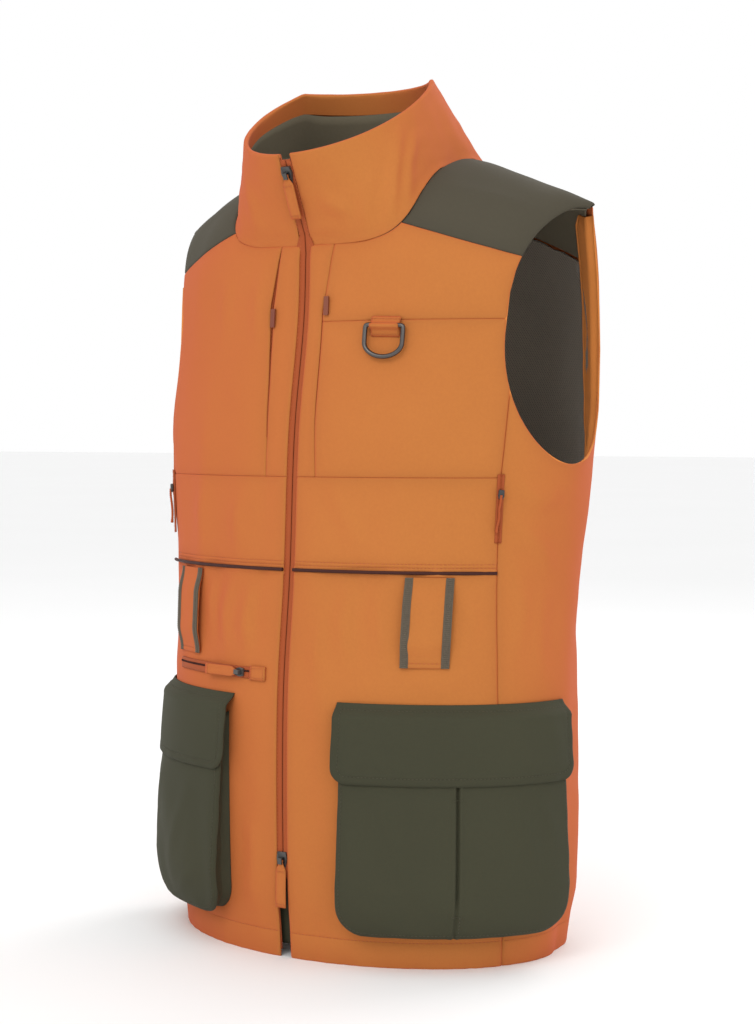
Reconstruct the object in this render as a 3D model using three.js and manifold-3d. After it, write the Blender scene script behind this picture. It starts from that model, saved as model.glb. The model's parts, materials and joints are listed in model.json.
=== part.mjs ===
// A sleeveless field vest with a stand collar, a two-way front zip and two bellows pockets.
// Millimetres, +Z up, the front faces -Y and the wearer's left is +X.
// Every cloth piece lies on one torso surface, as a thin layer between two offsets from it.
import * as THREE from "three";
import { mergeVertices } from "three/addons/utils/BufferGeometryUtils.js";
import Module from "manifold-3d";

const wasm = await Module();
wasm.setup();

// ---- Driving dimensions ---------------------------------------------------------------------

// Heights, each measured up from the one before.
const LOWER_LENGTH = 332; // hem to waist seam
const MIDDLE_LENGTH = 79; // waist seam to lower chest seam
const CHEST_LENGTH = 132; // lower chest seam to upper chest seam
const UPPER_LENGTH = 66; // upper chest seam to the front of the neck
const NECK_RISE = 79; // front of the neck to the neck point on the shoulder

// Half widths and half depths of the torso at five levels.
const HEM_HALF_WIDTH = 185;
const SEAT_HALF_WIDTH = 198;
const WAIST_HALF_WIDTH = 202;
const CHEST_HALF_WIDTH = 214;
const SHOULDER_HALF_WIDTH = 218;
const HEM_HALF_DEPTH = 131;
const SEAT_HALF_DEPTH = 136;
const WAIST_HALF_DEPTH = 126;
const CHEST_HALF_DEPTH = 127;
const SHOULDER_HALF_DEPTH = 122;
const CHEST_SET_BACK = 8; // how far the chest's section sits behind the hem's
const SHOULDER_SET_BACK = 18;
const SEAT_HEIGHT = 220;

// Shoulders, neck and armholes.
const NECK_HALF_WIDTH = 97;
const NECK_POWER = 4.6; // squareness of the neckline's U
const SHOULDER_TIP = 215; // half the width across the shoulder tips
const SHOULDER_SLOPE = 0.42;
const FRONT_ROLL = 100; // height over which the front turns in to the shoulder ridge
const BACK_ROLL = 180;
const RIDGE_BLEND = 20; // rounds the ridge where it leaves the neck
const BACK_NECK_DROP = 12;
const ARMHOLE_ABOVE_SEAM = 11; // armhole's lowest point above the lower chest seam
const ARMHOLE_LOWER_HEIGHT = 108; // lowest point to the widest level
const ARMHOLE_MIDDLE_ANGLE = 84;
const ARMHOLE_HALF_ANGLE = 31;
const YOKE_SEAM_NECK_DROP = 63; // neck point down to the yoke seam, at the neck
const YOKE_SEAM_FALL = 0.32; // fall of the yoke seam per millimetre outwards
const YOKE_BACK_ANGLE = 101; // how far the yoke turns over the ridge

// Cloth, gaps and seams.
const CLOTH = 1.5; // outer cloth, folded and interlined
const LINING = 1.2;
const SEAM_GAP = 0.4; // clear gap between neighbouring pieces
const LAYER_GAP = 0.6; // clear gap between layers that lie on each other
const TAPE_SET_IN = 1.4; // gap between a panel and the zip tape behind it
const LINING_SET_IN = 3; // air between the shell and the lining
const FACING_SET_IN = 3.6; // air between the lining and a facing sewn over it
const SIDE_SEAM_FRONT_ANGLE = 56; // side panel's front seam at the armhole
const SIDE_SEAM_HEM_ANGLE = 66; // the same seam at the hem
const SIDE_SEAM_BACK_ANGLE = 112;
const HEM_FACING_HEIGHT = 30;
const ARM_FACING_WIDTH = 38;
const FACING_BELOW_RIDGE = 12; // how far a facing stays under the shoulder ridge
const LINING_BELOW_SEAM = 3; // lining's upper edge under the neckline and the yoke seam
const LINING_BELOW_ARMHOLE = 1;
const LINING_BACK_TURN = 137; // where the back lining and the yoke lining meet, over the ridge
const YOKE_LINING_NECK_TURN = 96; // where the yoke lining leaves the neck, and where it closes behind
const YOKE_LINING_CLOSED_TURN = 116.6;
const BODY_RADIUS = 130; // turns a seam's gap into an angle

// Collar.
const COLLAR_TOP_HALF_WIDTH = 84;
const COLLAR_TOP_HALF_DEPTH = 80;
const COLLAR_TOP_SET_FORWARD = 52;
const COLLAR_FRONT_HEIGHT = 72;
const COLLAR_TILT = 0.6; // rise of the collar's edge per millimetre towards the back
const COLLAR_LEVEL_FROM = -8; // behind this depth the edge runs level
const COLLAR_FOLD = 18; // outer cloth turned down inside the collar
const COLLAR_WALL = 3 * CLOTH; // outer wall, space and turned-down wall
const COLLAR_BULGE = 1.5; // how far the wall swells out at half its height
const COLLAR_COLUMNS = 28;

// Front zip.
const ZIP_HALF_WIDTH = 5.5; // visible half of the zip band
const ZIP_TAPE_UNDER = 6; // tape hidden behind each front panel
const TAPE = 0.9;
const TAPE_FROM_MIDDLE = 0.35;
const COIL_BEHIND_TAPE = 0.3;
const COIL_WIDTH = 4.4;
const COIL_DEPTH = 1.8;
const ZIP_GUARD_WIDTH = 34;
const GUARD_SET_IN = 2.8; // air between the zip's coil and the guard
const COLLAR_GUARD_DEPTH = 9.5; // zip guard behind the collar's outer face
const SLIDER_WIDTH = 2 * ZIP_HALF_WIDTH - 0.5;
const SLIDER_LENGTH = 15;
const SLIDER_DEPTH = 2.4;
const SLIDER_RIDES = 0.5; // gap between a slider and the tape it runs on
const BRIDGE_HEIGHT = 3.2;
const BRIDGE_WIDTH = 4;
const BRIDGE_LEG = 1.1;
const BRIDGE_WINDOW = 4.4;
const BRIDGE_BEAM = 1;
const PULL_THICKNESS = 1.2;
const PULL_EYE = 1.3; // cloth above the pull's slot
const PULL_SLOT_WIDTH = 5.6;
const PULL_SLOT_LENGTH = 4;
const TOP_PULL_LENGTH = 38;
const BOTTOM_PULL_LENGTH = 40;
const TOP_SLIDER_BELOW_EDGE = 16;
const BOTTOM_SLIDER_HEIGHT = 84;
const ZIP_HEM_CLEARANCE = 6;

// Small fittings, placed by their distance round the body from the centre front.
const CHEST_ZIP_PLACE = { left: 25, right: 31 };
const CHEST_ZIP_SLIT = 2.4;
const CHEST_TAPE = 0.6;
const CHEST_TAPE_SET_IN = 0.8; // gap between a chest panel and its zip tape
const CHEST_TAPE_HALF_WIDTH = 7;
const CHEST_ZIP_HEIGHTS = [32, 186]; // above the lower chest seam
const CHEST_SLIDER_AT = { left: 150, right: 141 };
const CHEST_TAB_LIFT = 1.4; // gap under a chest slider's tab, which travels straight
const CHEST_TAB_LENGTH = 16;
const CHEST_NECK_WIDTH = 1.8;
const TAB_WIDTH = 4.5; // fixed pull tabs of the chest and side sliders
const TAB_THICKNESS = 1.4;
const TAB_NECK_LENGTH = 6;
const SIDE_ZIP_HEIGHTS = [25, 82]; // above the waist seam
const SIDE_SLIDER_AT = 60;
const SIDE_ZIP_HALF_ANGLE = 1.1;
const SIDE_TAB_LENGTH = 30;
const SIDE_NECK_WIDTH = 4;
const RING_PLACE = 82;
const RING_WIDTH = 38;
const RING_HEIGHT = 29;
const RING_WIRE = 4;
const RING_CORNER = 3;
const RING_BOWL = 11;
const RING_TAB_WIDTH = RING_WIDTH - 12;
const RING_TAB_HEIGHT = 15;
const RING_TAB_ABOVE_SEAM = 3;
const RING_TAB_LIFT = 1.1;
const RING_EYE_DOWN = 1.5; // ring's eye below the middle of its tab
const GEAR_LOOP_PLACE = 109;
const GEAR_LOOP_WIDTH = 40;
const GEAR_LOOP_HEIGHT = 75;
const GEAR_LOOP_STAND = 7.5; // clear depth behind the loop's middle
const GEAR_TAPE_WIDTH = 6;
const GEAR_TAPE_PROUD = 0.4; // tape thicker than the strip between
const GEAR_LOOP_RISE = 0.12; // share of the height over which an end rises
const MAP_ZIP_HEIGHT = 90; // below the waist seam, on the wearer's right
const MAP_ZIP_PLACE = [36, 148];
const MAP_SLIDER_AT = 47;
const MAP_SLIDER = [8, 11, 1.8]; // width, length and depth
const MAP_PULL = [9, 42]; // width and length
const MAP_ZIP_HALF_HEIGHT = 5;
const MAP_TAB = [18, 12]; // length and height
const PIPING_RADIUS = 1.4;

// Bellows pockets.
const POCKET_PLACE = 60; // centre front to the pocket's near edge
const POCKET_WIDTH = 192;
const POCKET_BOTTOM = 31;
const POCKET_TOP = 208;
const POCKET_CORNER = 24;
const POCKET_DEPTH_TOP = 7; // clear depth behind the pocket's front, at its top edge
const POCKET_DEPTH_BOTTOM = 19;
const GUSSET_CLEAR = 1.1; // gap between the gusset and the vest, and the pocket's front
const POCKET_FULLEST = 70; // height where the pocket stands out most
const FLAP_OVERHANG = 6; // flap past the pocket on each side
const FLAP_TOP = 223;
const FLAP_BOTTOM = 157;
const FLAP_CORNER = 14;
const FLAP_CLEARANCE = 1.6;
const FLAP_TURN_ABOVE_POCKET = 4; // the flap clears the pocket's top edge from here down

// ---- Heights worked out from the dimensions -------------------------------------------------

const WAIST_Z = LOWER_LENGTH;
const LOWER_CHEST_Z = WAIST_Z + MIDDLE_LENGTH;
const UPPER_CHEST_Z = LOWER_CHEST_Z + CHEST_LENGTH;
const NECK_FRONT_Z = UPPER_CHEST_Z + UPPER_LENGTH;
const NECK_POINT_Z = NECK_FRONT_Z + NECK_RISE;
const ARMHOLE_BOTTOM_Z = LOWER_CHEST_Z + ARMHOLE_ABOVE_SEAM;
const ARMHOLE_WIDEST_Z = ARMHOLE_BOTTOM_Z + ARMHOLE_LOWER_HEIGHT;
const COLLAR_FRONT_Z = NECK_FRONT_Z + COLLAR_FRONT_HEIGHT;
const LINING_OUTER = -(CLOTH + LINING_SET_IN);
const LINING_INNER = LINING_OUTER - LINING;
const FACING_OUTER = LINING_INNER - FACING_SET_IN;
const FACING_INNER = FACING_OUTER - LINING;
const TAPE_OUTER = -(CLOTH + TAPE_SET_IN);
const TAPE_INNER = TAPE_OUTER - TAPE;

// ---- Materials --------------------------------------------------------------------------------

const material = (color, roughness, metalness = 0) =>
  new THREE.MeshStandardMaterial({ color, roughness, metalness });
const ORANGE = material(0xe8732a, 0.85);
const OLIVE = material(0x4d5240, 0.88);
const MESH = material(0x565a4c, 0.95);
const BURNT = material(0xb4521f, 0.7);
const PIPING = material(0x3c120e, 0.75);
const GREY_TAPE = material(0x8a8468, 0.8);
const BLACK = material(0x1b1a19, 0.45, 0.3);
const GUNMETAL = material(0x4a4745, 0.35, 0.9);

// ---- The torso surface ----------------------------------------------------------------------

const radians = THREE.MathUtils.degToRad;
const degrees = THREE.MathUtils.radToDeg;
const mix = THREE.MathUtils.lerp;
const clamp = THREE.MathUtils.clamp;

const LEVELS = [
  [0, HEM_HALF_WIDTH, HEM_HALF_DEPTH, 0],
  [0.28 * SEAT_HEIGHT, mix(HEM_HALF_WIDTH, SEAT_HALF_WIDTH, 0.62), SEAT_HALF_DEPTH, 0],
  [SEAT_HEIGHT, SEAT_HALF_WIDTH, SEAT_HALF_DEPTH, 0],
  [WAIST_Z, WAIST_HALF_WIDTH, WAIST_HALF_DEPTH, 0],
  [ARMHOLE_BOTTOM_Z + 28, CHEST_HALF_WIDTH, CHEST_HALF_DEPTH, CHEST_SET_BACK],
  [ARMHOLE_WIDEST_Z + 30, SHOULDER_HALF_WIDTH, SHOULDER_HALF_DEPTH, SHOULDER_SET_BACK],
  [NECK_POINT_Z, SHOULDER_HALF_WIDTH, SHOULDER_HALF_DEPTH, SHOULDER_SET_BACK],
];

// A smooth curve through one column of the levels, level beyond both ends.
function levelValue(z, column) {
  const last = LEVELS.length - 1;
  if (z <= LEVELS[0][0]) return LEVELS[0][column];
  if (z >= LEVELS[last][0]) return LEVELS[last][column];
  let k = 0;
  while (z > LEVELS[k + 1][0]) k++;
  const slope = (i) => {
    if (i === 0 || i === last) return 0;
    return (
      (LEVELS[i + 1][column] - LEVELS[i - 1][column]) / (LEVELS[i + 1][0] - LEVELS[i - 1][0])
    );
  };
  const span = LEVELS[k + 1][0] - LEVELS[k][0];
  const s = (z - LEVELS[k][0]) / span;
  return (
    LEVELS[k][column] * (1 + 2 * s) * (1 - s) ** 2 +
    slope(k) * span * s * (1 - s) ** 2 +
    LEVELS[k + 1][column] * s * s * (3 - 2 * s) +
    slope(k + 1) * span * s * s * (s - 1)
  );
}
const halfWidth = (z) => levelValue(z, 1);
const halfDepth = (z) => levelValue(z, 2);
const setBack = (z) => levelValue(z, 3);

// Height of the shoulder ridge at a distance x from the middle.
function ridgeZ(x) {
  const beyond = Math.abs(x) - NECK_HALF_WIDTH;
  const fall = (beyond + Math.hypot(beyond, RIDGE_BLEND) - RIDGE_BLEND) / 2;
  return NECK_POINT_Z - SHOULDER_SLOPE * fall;
}

// Point at angle t round the body (0 front, 90 the wearer's left) and height z.
function wallPoint(t, z) {
  const x = halfWidth(z) * Math.sin(radians(t));
  const c = Math.cos(radians(t));
  const roll = c > 0 ? FRONT_ROLL : BACK_ROLL;
  const k = clamp((z - ridgeZ(x)) / roll + 1, 0, 1);
  return new THREE.Vector3(x, setBack(z) - halfDepth(z) * c * Math.sqrt(1 - k * k), z);
}

// Point at angle t (-90 to 90) and angle turn over the shoulder: 0 front, 90 ridge, 180 back.
function shoulderPoint(t, turn) {
  const roll = turn < 90 ? FRONT_ROLL : BACK_ROLL;
  let x = SHOULDER_HALF_WIDTH * Math.sin(radians(t));
  let z = NECK_POINT_Z;
  for (let i = 0; i < 4; i++) {
    z = ridgeZ(x) - roll * (1 - Math.sin(radians(turn)));
    x = halfWidth(z) * Math.sin(radians(t));
  }
  const depth = halfDepth(z) * Math.cos(radians(t)) * Math.cos(radians(turn));
  return new THREE.Vector3(x, setBack(z) - depth, z);
}

// A surface function's point moved out along the surface's normal.
function offsetPoint(surface, u, v, distance) {
  const step = 0.05;
  const p = surface(u, v);
  const du = surface(u + step, v).sub(surface(u - step, v));
  const dv = surface(u, v + step).sub(surface(u, v - step));
  const n = du.cross(dv).normalize();
  const inside = new THREE.Vector3(0, setBack(p.z), Math.min(p.z, ARMHOLE_WIDEST_Z - 50));
  if (n.dot(p.clone().sub(inside)) < 0) n.negate();
  return p.addScaledVector(n, distance);
}
const onWall = (t, z, distance) => offsetPoint(wallPoint, t, z, distance);
const onShoulder = (t, turn, distance) => offsetPoint(shoulderPoint, t, turn, distance);

// Angle of a point at distance x from the middle, at height z.
const angleOfX = (x, z) => degrees(Math.asin(clamp(x / halfWidth(z), -1, 1)));

// Angle of a point at a distance round the body from the centre front, at height z.
function angleOfArc(arc, z) {
  let t = 0;
  let walked = 0;
  let p = wallPoint(0, z);
  while (walked < arc && t < 180) {
    t += 1;
    const q = wallPoint(t, z);
    walked += q.distanceTo(p);
    p = q;
  }
  const last = p.distanceTo(wallPoint(t - 1, z));
  return arc <= 0 ? 0 : t - (walked - arc) / last;
}

// ---- Edges of the pattern pieces --------------------------------------------------------------

const HALF_GAP_ANGLE = degrees(SEAM_GAP / 2 / BODY_RADIUS);
const tipZ = ridgeZ(SHOULDER_TIP);

// The armhole's edge: its angle at height z, on the front or on the back.
function armholeAngle(z, back = false) {
  const side = back ? 1 : -1;
  if (z <= ARMHOLE_WIDEST_Z) {
    const k = clamp((ARMHOLE_WIDEST_Z - z) / ARMHOLE_LOWER_HEIGHT, 0, 1);
    return ARMHOLE_MIDDLE_ANGLE + side * ARMHOLE_HALF_ANGLE * Math.sqrt(1 - k * k);
  }
  const widest = ARMHOLE_MIDDLE_ANGLE + side * ARMHOLE_HALF_ANGLE;
  const inner = halfWidth(ARMHOLE_WIDEST_Z) * Math.sin(radians(widest));
  const k = clamp((z - ARMHOLE_WIDEST_Z) / (tipZ - ARMHOLE_WIDEST_Z), 0, 1);
  const x = SHOULDER_TIP - (SHOULDER_TIP - inner) * Math.sqrt(1 - k * k);
  return back ? 180 - angleOfX(x, z) : angleOfX(x, z);
}
// The lower edge of the armhole: its height at angle t.
function armholeZ(t) {
  const k = clamp(Math.abs(t - ARMHOLE_MIDDLE_ANGLE) / ARMHOLE_HALF_ANGLE, 0, 1);
  return ARMHOLE_WIDEST_Z - ARMHOLE_LOWER_HEIGHT * Math.sqrt(1 - k * k);
}
const sideSeamAngle = (z) =>
  mix(SIDE_SEAM_HEM_ANGLE, SIDE_SEAM_FRONT_ANGLE, clamp(z / LOWER_CHEST_Z, 0, 1));
const frontEdgeAngle = (z) =>
  z > armholeZ(SIDE_SEAM_FRONT_ANGLE) ? armholeAngle(z) : sideSeamAngle(z);
const backEdgeAngle = (z) =>
  z > armholeZ(SIDE_SEAM_BACK_ANGLE) ? armholeAngle(z, true) : SIDE_SEAM_BACK_ANGLE;

// The neckline, as a rounded U: its height at x, and its x at height z.
const neckDrop = (x, drop) => {
  const k = clamp(Math.abs(x) / NECK_HALF_WIDTH, 0, 1);
  return drop * (1 - k ** NECK_POWER) ** (1 / NECK_POWER);
};
const frontNeckZ = (x) => NECK_POINT_Z - neckDrop(x, NECK_RISE);
const backNeckZ = (x) => NECK_POINT_Z - neckDrop(x, BACK_NECK_DROP);
const neckX = (z) => {
  const k = clamp((NECK_POINT_Z - z) / NECK_RISE, 0, 1);
  return NECK_HALF_WIDTH * (1 - k ** NECK_POWER) ** (1 / NECK_POWER);
};
const yokeNeckX = neckX(NECK_POINT_Z - YOKE_SEAM_NECK_DROP);
const yokeSeamZ = (x) =>
  NECK_POINT_Z - YOKE_SEAM_NECK_DROP - YOKE_SEAM_FALL * (Math.abs(x) - yokeNeckX);

// Top edge of the front panels: the neckline, then the yoke seam.
function frontTopZ(t) {
  let z = NECK_FRONT_Z;
  for (let i = 0; i < 6; i++) {
    const x = halfWidth(z) * Math.sin(radians(t));
    z = x < yokeNeckX ? frontNeckZ(x) : yokeSeamZ(x);
  }
  return z;
}

// ---- Building closed solids -------------------------------------------------------------------

// A closed mesh from points and faces, turned the right way out.
function closedMesh(points, faces) {
  let volume = 0;
  const triple = new THREE.Vector3();
  for (const [a, b, c] of faces)
    volume += triple.crossVectors(points[b], points[c]).dot(points[a]);
  const turned = volume < 0 ? faces.map(([a, b, c]) => [a, c, b]) : faces;
  const geometry = new THREE.BufferGeometry().setFromPoints(points);
  geometry.setIndex(turned.flat());
  geometry.computeVertexNormals();
  return geometry;
}

// A layer between an outer and an inner grid of points, joined round its rim.
// point(u, v, side) gives a point, with side 1 on the outer grid and 0 on the inner.
function layer(columns, rows, point) {
  const us = Array.isArray(columns) ? columns : steps(columns);
  const vs = Array.isArray(rows) ? rows : steps(rows);
  const points = [];
  for (const side of [1, 0]) for (const v of vs) for (const u of us) points.push(point(u, v, side));
  const wide = us.length;
  const inner = wide * vs.length;
  const faces = [];
  const quad = (a, b, c, d) => faces.push([a, b, c], [a, c, d]);
  for (let j = 0; j + 1 < vs.length; j++)
    for (let i = 0; i + 1 < wide; i++) {
      const a = j * wide + i;
      quad(a, a + 1, a + 1 + wide, a + wide);
      quad(a + inner, a + wide + inner, a + 1 + wide + inner, a + 1 + inner);
    }
  const rim = [];
  for (let i = 0; i + 1 < wide; i++) rim.push(i);
  for (let j = 0; j + 1 < vs.length; j++) rim.push(j * wide + wide - 1);
  for (let i = wide - 1; i > 0; i--) rim.push((vs.length - 1) * wide + i);
  for (let j = vs.length - 1; j > 0; j--) rim.push(j * wide);
  rim.forEach((a, k) => {
    const b = rim[(k + 1) % rim.length];
    quad(b, a, a + inner, b + inner);
  });
  return closedMesh(points, faces);
}
const steps = (n) => Array.from({ length: n + 1 }, (_, i) => i / n);

const valueAt = (f, ...at) => (typeof f === "function" ? f(...at) : f);

// A layer on the wall between two side edges, which depend on height, and a lower and an upper
// edge, which depend on the angle. outer and inner are offsets, or functions of angle and height.
function wallPanel({ from, to, low, high, outer = 0, inner = -CLOTH, columns, rows, via }) {
  const place = (u, v) => {
    let z = mix(valueAt(low, 0), valueAt(high, 0), v);
    let t = 0;
    for (let i = 0; i < 12; i++) {
      const t0 = valueAt(from, z);
      const t1 = valueAt(to, z);
      if (via === undefined) t = mix(t0, t1, u);
      else t = u < 0.5 ? mix(t0, via, u * 2) : mix(via, t1, u * 2 - 1);
      z = mix(valueAt(low, t), valueAt(high, t), v);
    }
    return [t, z];
  };
  return layer(columns, rows, (u, v, side) => {
    const [t, z] = place(u, v);
    return onWall(t, z, valueAt(side ? outer : inner, t, z));
  });
}

const vest = new THREE.Group();
const SIDES = { left: 1, right: -1 };

// Adds a piece. Pieces are drawn on the wearer's left; side -1 mirrors one to the right.
function add(name, geometry, finish, side = 1) {
  if (side < 0) {
    const position = geometry.getAttribute("position");
    for (let i = 0; i < position.count; i++) position.setX(i, -position.getX(i));
    if (geometry.index) {
      const index = geometry.index.array;
      for (let i = 0; i < index.length; i += 3)
        [index[i + 1], index[i + 2]] = [index[i + 2], index[i + 1]];
    } else
      for (let i = 0; i < position.count; i += 3)
        for (const axis of ["X", "Y", "Z"]) {
          const kept = position[`get${axis}`](i + 1);
          position[`set${axis}`](i + 1, position[`get${axis}`](i + 2));
          position[`set${axis}`](i + 2, kept);
        }
    geometry.computeVertexNormals();
  }
  const mesh = new THREE.Mesh(geometry, finish);
  mesh.name = name;
  vest.add(mesh);
  return mesh;
}

// Moves a shape drawn with x across, y up and z outwards to a place on a surface.
function placed(geometry, surface, u, v, distance) {
  const origin = offsetPoint(surface, u, v, distance);
  const out = offsetPoint(surface, u, v, distance + 1).sub(origin).normalize();
  const across = new THREE.Vector3(-out.y, out.x, 0).normalize();
  const up = new THREE.Vector3().crossVectors(out, across);
  const frame = new THREE.Matrix4().makeBasis(across, up, out).setPosition(origin);
  return geometry.applyMatrix4(frame);
}

// Shapes joined into one solid, with others cut out of it.
function joined(shapes, cuts) {
  const solid = (geometry) => {
    const bare = geometry.index ? geometry.toNonIndexed() : geometry.clone();
    bare.deleteAttribute("normal");
    bare.deleteAttribute("uv");
    const merged = mergeVertices(bare, 1e-4);
    const mesh = new wasm.Mesh({
      numProp: 3,
      vertProperties: merged.attributes.position.array,
      triVerts: new Uint32Array(merged.index.array),
    });
    return new wasm.Manifold(mesh);
  };
  let whole = shapes.map(solid).reduce((a, b) => a.add(b));
  for (const cut of cuts) whole = whole.subtract(solid(cut));
  const { vertProperties, triVerts } = whole.getMesh();
  const geometry = new THREE.BufferGeometry();
  geometry.setAttribute("position", new THREE.BufferAttribute(vertProperties, 3));
  geometry.setIndex(new THREE.BufferAttribute(triVerts, 1));
  geometry.computeVertexNormals();
  return geometry;
}

// ---- Outer shell ------------------------------------------------------------------------------

const zipEdge = (z) => angleOfX(ZIP_HALF_WIDTH + SEAM_GAP / 2, z);
const below = (z) => z - SEAM_GAP / 2;
const above = (z) => z + SEAM_GAP / 2;
const frontTop = (t) => below(frontTopZ(t));
const yokeCorner = angleOfX(yokeNeckX, NECK_POINT_Z - YOKE_SEAM_NECK_DROP);

function frontPanels(side, sign) {
  const slit = CHEST_ZIP_PLACE[side];
  const slitNear = (z) => angleOfX(slit - CHEST_ZIP_SLIT / 2, z);
  const slitFar = (z) => angleOfX(slit + CHEST_ZIP_SLIT / 2, z);
  const outerEdge = (z) => frontEdgeAngle(z) - HALF_GAP_ANGLE;
  const pieces = {
    front_lower: { from: zipEdge, to: outerEdge, low: 0, high: below(WAIST_Z), columns: 7, rows: 9 },
    front_middle: {
      from: zipEdge,
      to: outerEdge,
      low: above(WAIST_Z),
      high: below(LOWER_CHEST_Z),
      columns: 7,
      rows: 3,
    },
    placket: {
      from: zipEdge,
      to: slitNear,
      low: above(LOWER_CHEST_Z),
      high: frontTop,
      columns: 1,
      rows: 12,
    },
  };
  const chest = { from: slitFar, to: outerEdge, low: above(LOWER_CHEST_Z), columns: 8, via: yokeCorner };
  if (side === "right") pieces.front_chest = { ...chest, high: frontTop, rows: 8 };
  else {
    pieces.front_chest = { ...chest, high: below(UPPER_CHEST_Z), rows: 5 };
    pieces.front_upper = { ...chest, low: above(UPPER_CHEST_Z), high: frontTop, rows: 3 };
  }
  for (const [name, shape] of Object.entries(pieces))
    add(`${name}_${side}`, wallPanel(shape), ORANGE, sign);
}

function sidePanel(side, sign) {
  const shape = {
    from: (z) => sideSeamAngle(z) + HALF_GAP_ANGLE,
    to: SIDE_SEAM_BACK_ANGLE - HALF_GAP_ANGLE,
    low: 0,
    high: (t) => armholeZ(t),
    columns: 8,
    rows: 11,
  };
  add(`side_panel_${side}`, wallPanel(shape), ORANGE, sign);
}

// The back, from the hem over the shoulder blades to the yoke's back seam and the neckline.
function backPanel() {
  const yokeLimit = 2 - (YOKE_BACK_ANGLE - 90) / 90;
  const topRow = (x) => {
    const k = clamp((below(backNeckZ(x)) - ridgeZ(x)) / BACK_ROLL + 1, 0, 1);
    return Math.min(yokeLimit - degrees(SEAM_GAP / BACK_ROLL) / 90, 1 + degrees(Math.asin(k)) / 90);
  };
  const point = (u, v, side) => {
    let z = v * LOWER_CHEST_Z;
    let t = 0;
    let w = 0;
    for (let i = 0; i < 12; i++) {
      const x = halfWidth(z) * Math.sin(radians(t));
      const bend = ridgeZ(x) - BACK_ROLL;
      w = v * topRow(x);
      z = w <= 1 ? w * bend : bend + BACK_ROLL * Math.sin(radians(90 * (w - 1)));
      const edge = 180 - backEdgeAngle(z) - HALF_GAP_ANGLE;
      t = mix(edge, -edge, u);
    }
    const offset = side ? 0 : -CLOTH;
    return w <= 1 ? onWall(180 - t, z, offset) : onShoulder(t, 270 - 90 * w, offset);
  };
  add("back_panel", layer(16, 20, point), ORANGE);
}

// A cloth over the shoulder, from the yoke's front seam back to the angle backTurn.
// innerX(turn) gives the neck edge where it isn't the neckline.
function shoulderCloth(rows, columns, turnAt, innerX, outer, inner) {
  return layer(columns, rows, (u, v, side) => {
    let t = 45;
    let turn = 60;
    for (let i = 0; i < 14; i++) {
      const x = halfWidth(NECK_POINT_Z) * Math.sin(radians(t));
      turn = turnAt(v, x);
      const roll = turn < 90 ? FRONT_ROLL : BACK_ROLL;
      const drop = roll * (1 - Math.sin(radians(turn)));
      const z = ridgeZ(x) - drop;
      const neckZ = NECK_POINT_Z - drop;
      const neck = innerX(turn) ?? (turn < 90 ? neckX(neckZ) : NECK_HALF_WIDTH);
      let tip = SHOULDER_TIP;
      for (let k = 0; k < 4; k++) {
        const edgeZ = ridgeZ(tip) - drop;
        const angle = armholeAngle(edgeZ, turn > 90);
        tip = halfWidth(edgeZ) * Math.sin(radians(angle));
      }
      t = mix(angleOfX(neck, z) + (neck ? HALF_GAP_ANGLE : 0), angleOfX(tip, z), u);
    }
    return onShoulder(t, turn, side ? outer : inner);
  });
}
const yokeSeamTurn = (x) => {
  const z = above(yokeSeamZ(x));
  return degrees(Math.asin(clamp((z - ridgeZ(x)) / FRONT_ROLL + 1, 0, 1)));
};

function yoke(side, sign) {
  const gapTurn = degrees((2 * SEAM_GAP) / BACK_ROLL);
  const turnAt = (v, x) => mix(yokeSeamTurn(x), YOKE_BACK_ANGLE - gapTurn, v);
  const cloth = shoulderCloth(8, 5, turnAt, () => undefined, 0, -CLOTH);
  add(`yoke_${side}`, cloth, OLIVE, sign);
}

// ---- Collar -----------------------------------------------------------------------------------

// Half of the neckline, from the centre front round to the centre back, with equal steps.
const neckline = (() => {
  const dense = [];
  for (let angle = 0; angle <= 180; angle += 1) {
    const power = 2 / NECK_POWER;
    const x = NECK_HALF_WIDTH * Math.sin(radians(angle)) ** power;
    const drop = (angle < 90 ? NECK_RISE : BACK_NECK_DROP) * Math.abs(Math.cos(radians(angle))) ** power;
    const z = NECK_POINT_Z - drop;
    const t = angleOfX(x, z);
    dense.push(wallPoint(angle < 90 ? t : 180 - t, z));
  }
  return dense;
})();
const neckLengths = [0];
for (let i = 1; i < neckline.length; i++)
  neckLengths.push(neckLengths[i - 1] + neckline[i].distanceTo(neckline[i - 1]));
const neckLength = neckLengths.at(-1);
const frontShare = (ZIP_HALF_WIDTH + SEAM_GAP) / neckLength; // share at the collar's front edge

// The neckline's point at a share s of its length, moved in towards the neck.
function collarBase(s) {
  const wanted = clamp(s, 0, 1) * neckLength;
  let i = 1;
  while (i < neckLengths.length - 1 && neckLengths[i] < wanted) i++;
  const part = (wanted - neckLengths[i - 1]) / (neckLengths[i] - neckLengths[i - 1]);
  const p = neckline[i - 1].clone().lerp(neckline[i], part);
  const centre = new THREE.Vector3(0, -SHOULDER_SET_BACK, p.z);
  const inward = centre.sub(p).normalize();
  return p.addScaledVector(inward, CLOTH + LAYER_GAP);
}
function collarTop(s) {
  const edge = Math.asin((ZIP_HALF_WIDTH + SEAM_GAP) / COLLAR_TOP_HALF_WIDTH);
  const beyond = (s - frontShare) / (1 - frontShare);
  const angle = s < frontShare ? (edge * s) / frontShare : mix(edge, Math.PI, beyond);
  const y = -COLLAR_TOP_SET_FORWARD - COLLAR_TOP_HALF_DEPTH * Math.cos(angle);
  const front = -COLLAR_TOP_SET_FORWARD - COLLAR_TOP_HALF_DEPTH;
  const rise = COLLAR_TILT * (Math.min(y, COLLAR_LEVEL_FROM) - front);
  return new THREE.Vector3(COLLAR_TOP_HALF_WIDTH * Math.sin(angle), y, COLLAR_FRONT_Z + rise);
}
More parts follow.
